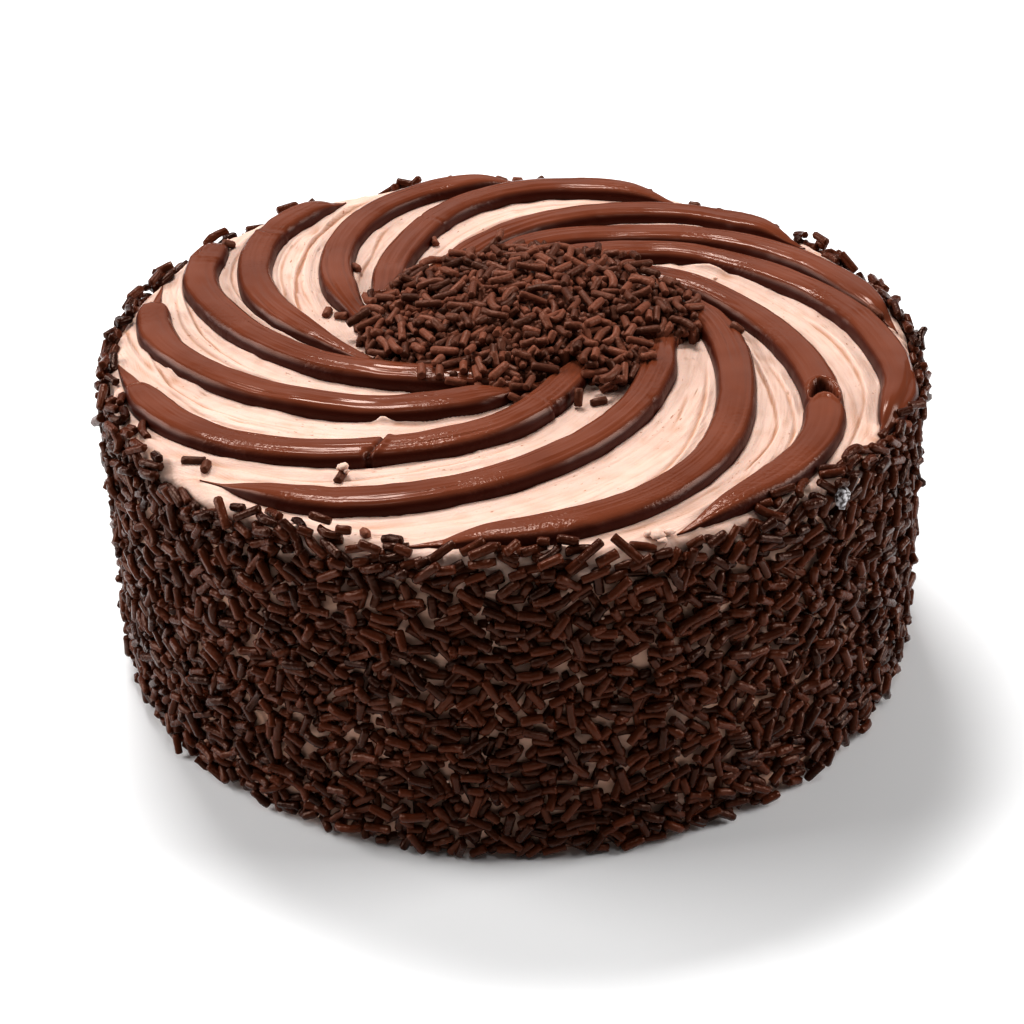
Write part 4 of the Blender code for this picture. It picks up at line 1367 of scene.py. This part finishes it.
def shiny_material():
    """Nearly black facets and nearly white ones that are painted highlights, for the one shiny crumb."""
    material, tree, shader = new_material("shiny_crumb", (0.20, 0.15, 0.14), 0.12)
    facets = object_noise(tree, 900, 2)
    # Painted highlights: nearly white facets among the nearly black ones
    colour = colour_ramp(tree, facets, (0.42, (0.03, 0.015, 0.012)), (0.60, (0.75, 0.72, 0.74)))
    tree.links.new(colour, shader.inputs["Base Color"])
    add_bump(tree, shader, [(facets, 0.9, 0.8)])
    return material


def sprinkle_material(name, dark, light, roughness):
    """Chocolate whose tone changes from sprinkle to sprinkle and a little along each."""
    material, tree, shader = new_material(name, dark, roughness)
    tone = arithmetic(tree, "MULTIPLY_ADD", object_noise(tree, 500, 3), 0.5, attribute(tree, "tone"))
    colour = colour_ramp(tree, tone, (0.15, dark), (1.0, light))
    tree.links.new(colour, shader.inputs["Base Color"])
    set_gloss(shader, 0.24, SPRINKLE_TINT)
    add_bump(tree, shader, [(object_noise(tree, 650, 2), 0.8, 0.42),
                            (object_noise(tree, 1500, 4), 0.6, 0.20)])
    return material


# Stage, light and camera

FLOOR_REACH = 6000.0

# Lights: name, place, width and height, watts
LIGHTS = (
    ("left", (-1800, 200, 1000), (1300, 1300), 42.0),
    ("right", (1900, 100, 1000), (900, 1000), 34.0),
    ("over", (-300, 1000, 1950), (700, 500), 41.0),
    ("front", (150, -800, 2000), (300, 250), 4.0),
    ("back", (0, 2400, 1300), (3200, 1300), 8.0),
)
LIT_SPOT = (0, 0, 60)


def build_stage():
    material = new_material("pale_floor", (0.93, 0.93, 0.93), 0.6)[0]
    points = FLOOR_REACH * MM * np.array([(-1, -1, 0), (1, -1, 0), (1, 1, 0), (-1, 1, 0)])
    make_mesh("floor", points, [np.array([[0, 1, 2, 3]])], material)


def build_light():
    scene = bpy.context.scene
    scene.world = bpy.data.worlds.new("studio")
    scene.world.use_nodes = True
    background = scene.world.node_tree.nodes["Background"]
    background.inputs["Color"].default_value = (1, 1, 1, 1)
    background.inputs["Strength"].default_value = 0.10
    for name, place, (width, height), power in LIGHTS:
        light = bpy.data.lights.new(name, "AREA")
        light.shape = "RECTANGLE"
        light.size = width * MM
        light.size_y = height * MM
        light.energy = power
        facing = (Vector(place) - Vector(LIT_SPOT)).to_track_quat("Z", "Y").to_matrix().to_4x4()
        add_to_scene(name, light).matrix_world = Matrix.Translation(Vector(place) * MM) @ facing
    scene.view_settings.view_transform = "Standard"
    scene.view_settings.look = "None"
    scene.view_settings.exposure = 0.0
    scene.view_settings.gamma = 0.88


def build_camera():
    data = bpy.data.cameras.new("camera")
    data.sensor_width = SENSOR
    data.lens = FOCAL_PIXELS / PICTURE_PIXELS * SENSOR
    data.clip_start = 0.01
    data.clip_end = 50
    tilt = Matrix.Rotation(math.pi / 2 - CAMERA_PITCH, 4, "X") @ Matrix.Rotation(CAMERA_ROLL, 4, "Z")
    camera = add_to_scene("camera", data)
    camera.matrix_world = Matrix.Translation(Vector(CAMERA_PLACE) * MM) @ tilt
    bpy.context.scene.camera = camera


def dress(pieces, node):
    """Put pieces on the body in place of one node of the construction."""
    for piece in pieces:
        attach(piece, "root")
        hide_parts(node)


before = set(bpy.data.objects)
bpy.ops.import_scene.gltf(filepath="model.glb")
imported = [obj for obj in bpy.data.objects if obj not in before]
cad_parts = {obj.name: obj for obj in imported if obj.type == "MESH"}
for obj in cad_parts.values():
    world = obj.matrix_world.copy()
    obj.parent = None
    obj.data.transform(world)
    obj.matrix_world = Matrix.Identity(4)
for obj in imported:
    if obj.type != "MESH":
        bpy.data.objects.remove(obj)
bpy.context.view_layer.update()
build_camera()
build_stage()
build_light()

buttercream = buttercream_material()
ganache = ganache_material()
# Darker copy of the heap's chocolate: painted shade on the side's sprinkles and the heap's core
shaded_chocolate = sprinkle_material("chocolate_sprinkles", *SIDE_SHADED_TONES, 0.25)
heap_chocolate = sprinkle_material("chocolate_sprinkles_heap", *HEAP_TONES, 0.42)

dress([build_buttercream_top(buttercream)], "cake")
dress([build_buttercream_side(buttercream)], "cake")
for line in LINES:
    dress([build_stripe(line, ganache)], f"ganache_stripe_{line.number:02d}")

random = np.random.default_rng(12)
side = build_sprinkles("side_sprinkles", lay_side(random), random, shaded_chocolate)
dress(side, "cake")
# The core takes the darker copy as painted shade in the gaps between the heap's sprinkles
core = build_heap_core(shaded_chocolate)
heap = build_sprinkles("heap_sprinkles", lay_heap(random), random, heap_chocolate)
dress([core, *heap], "sprinkle_heap")
strays = build_sprinkles("stray_sprinkles", lay_strays(), random, heap_chocolate)
flecks = build_crumbs("pale_crumbs", pale_crumb_places(random), random, buttercream)
shiny = build_crumbs("shiny_crumb", [SHINY_CRUMB], random, shiny_material())
dress([flecks], "cake")
dress([shiny, *strays], "cake")
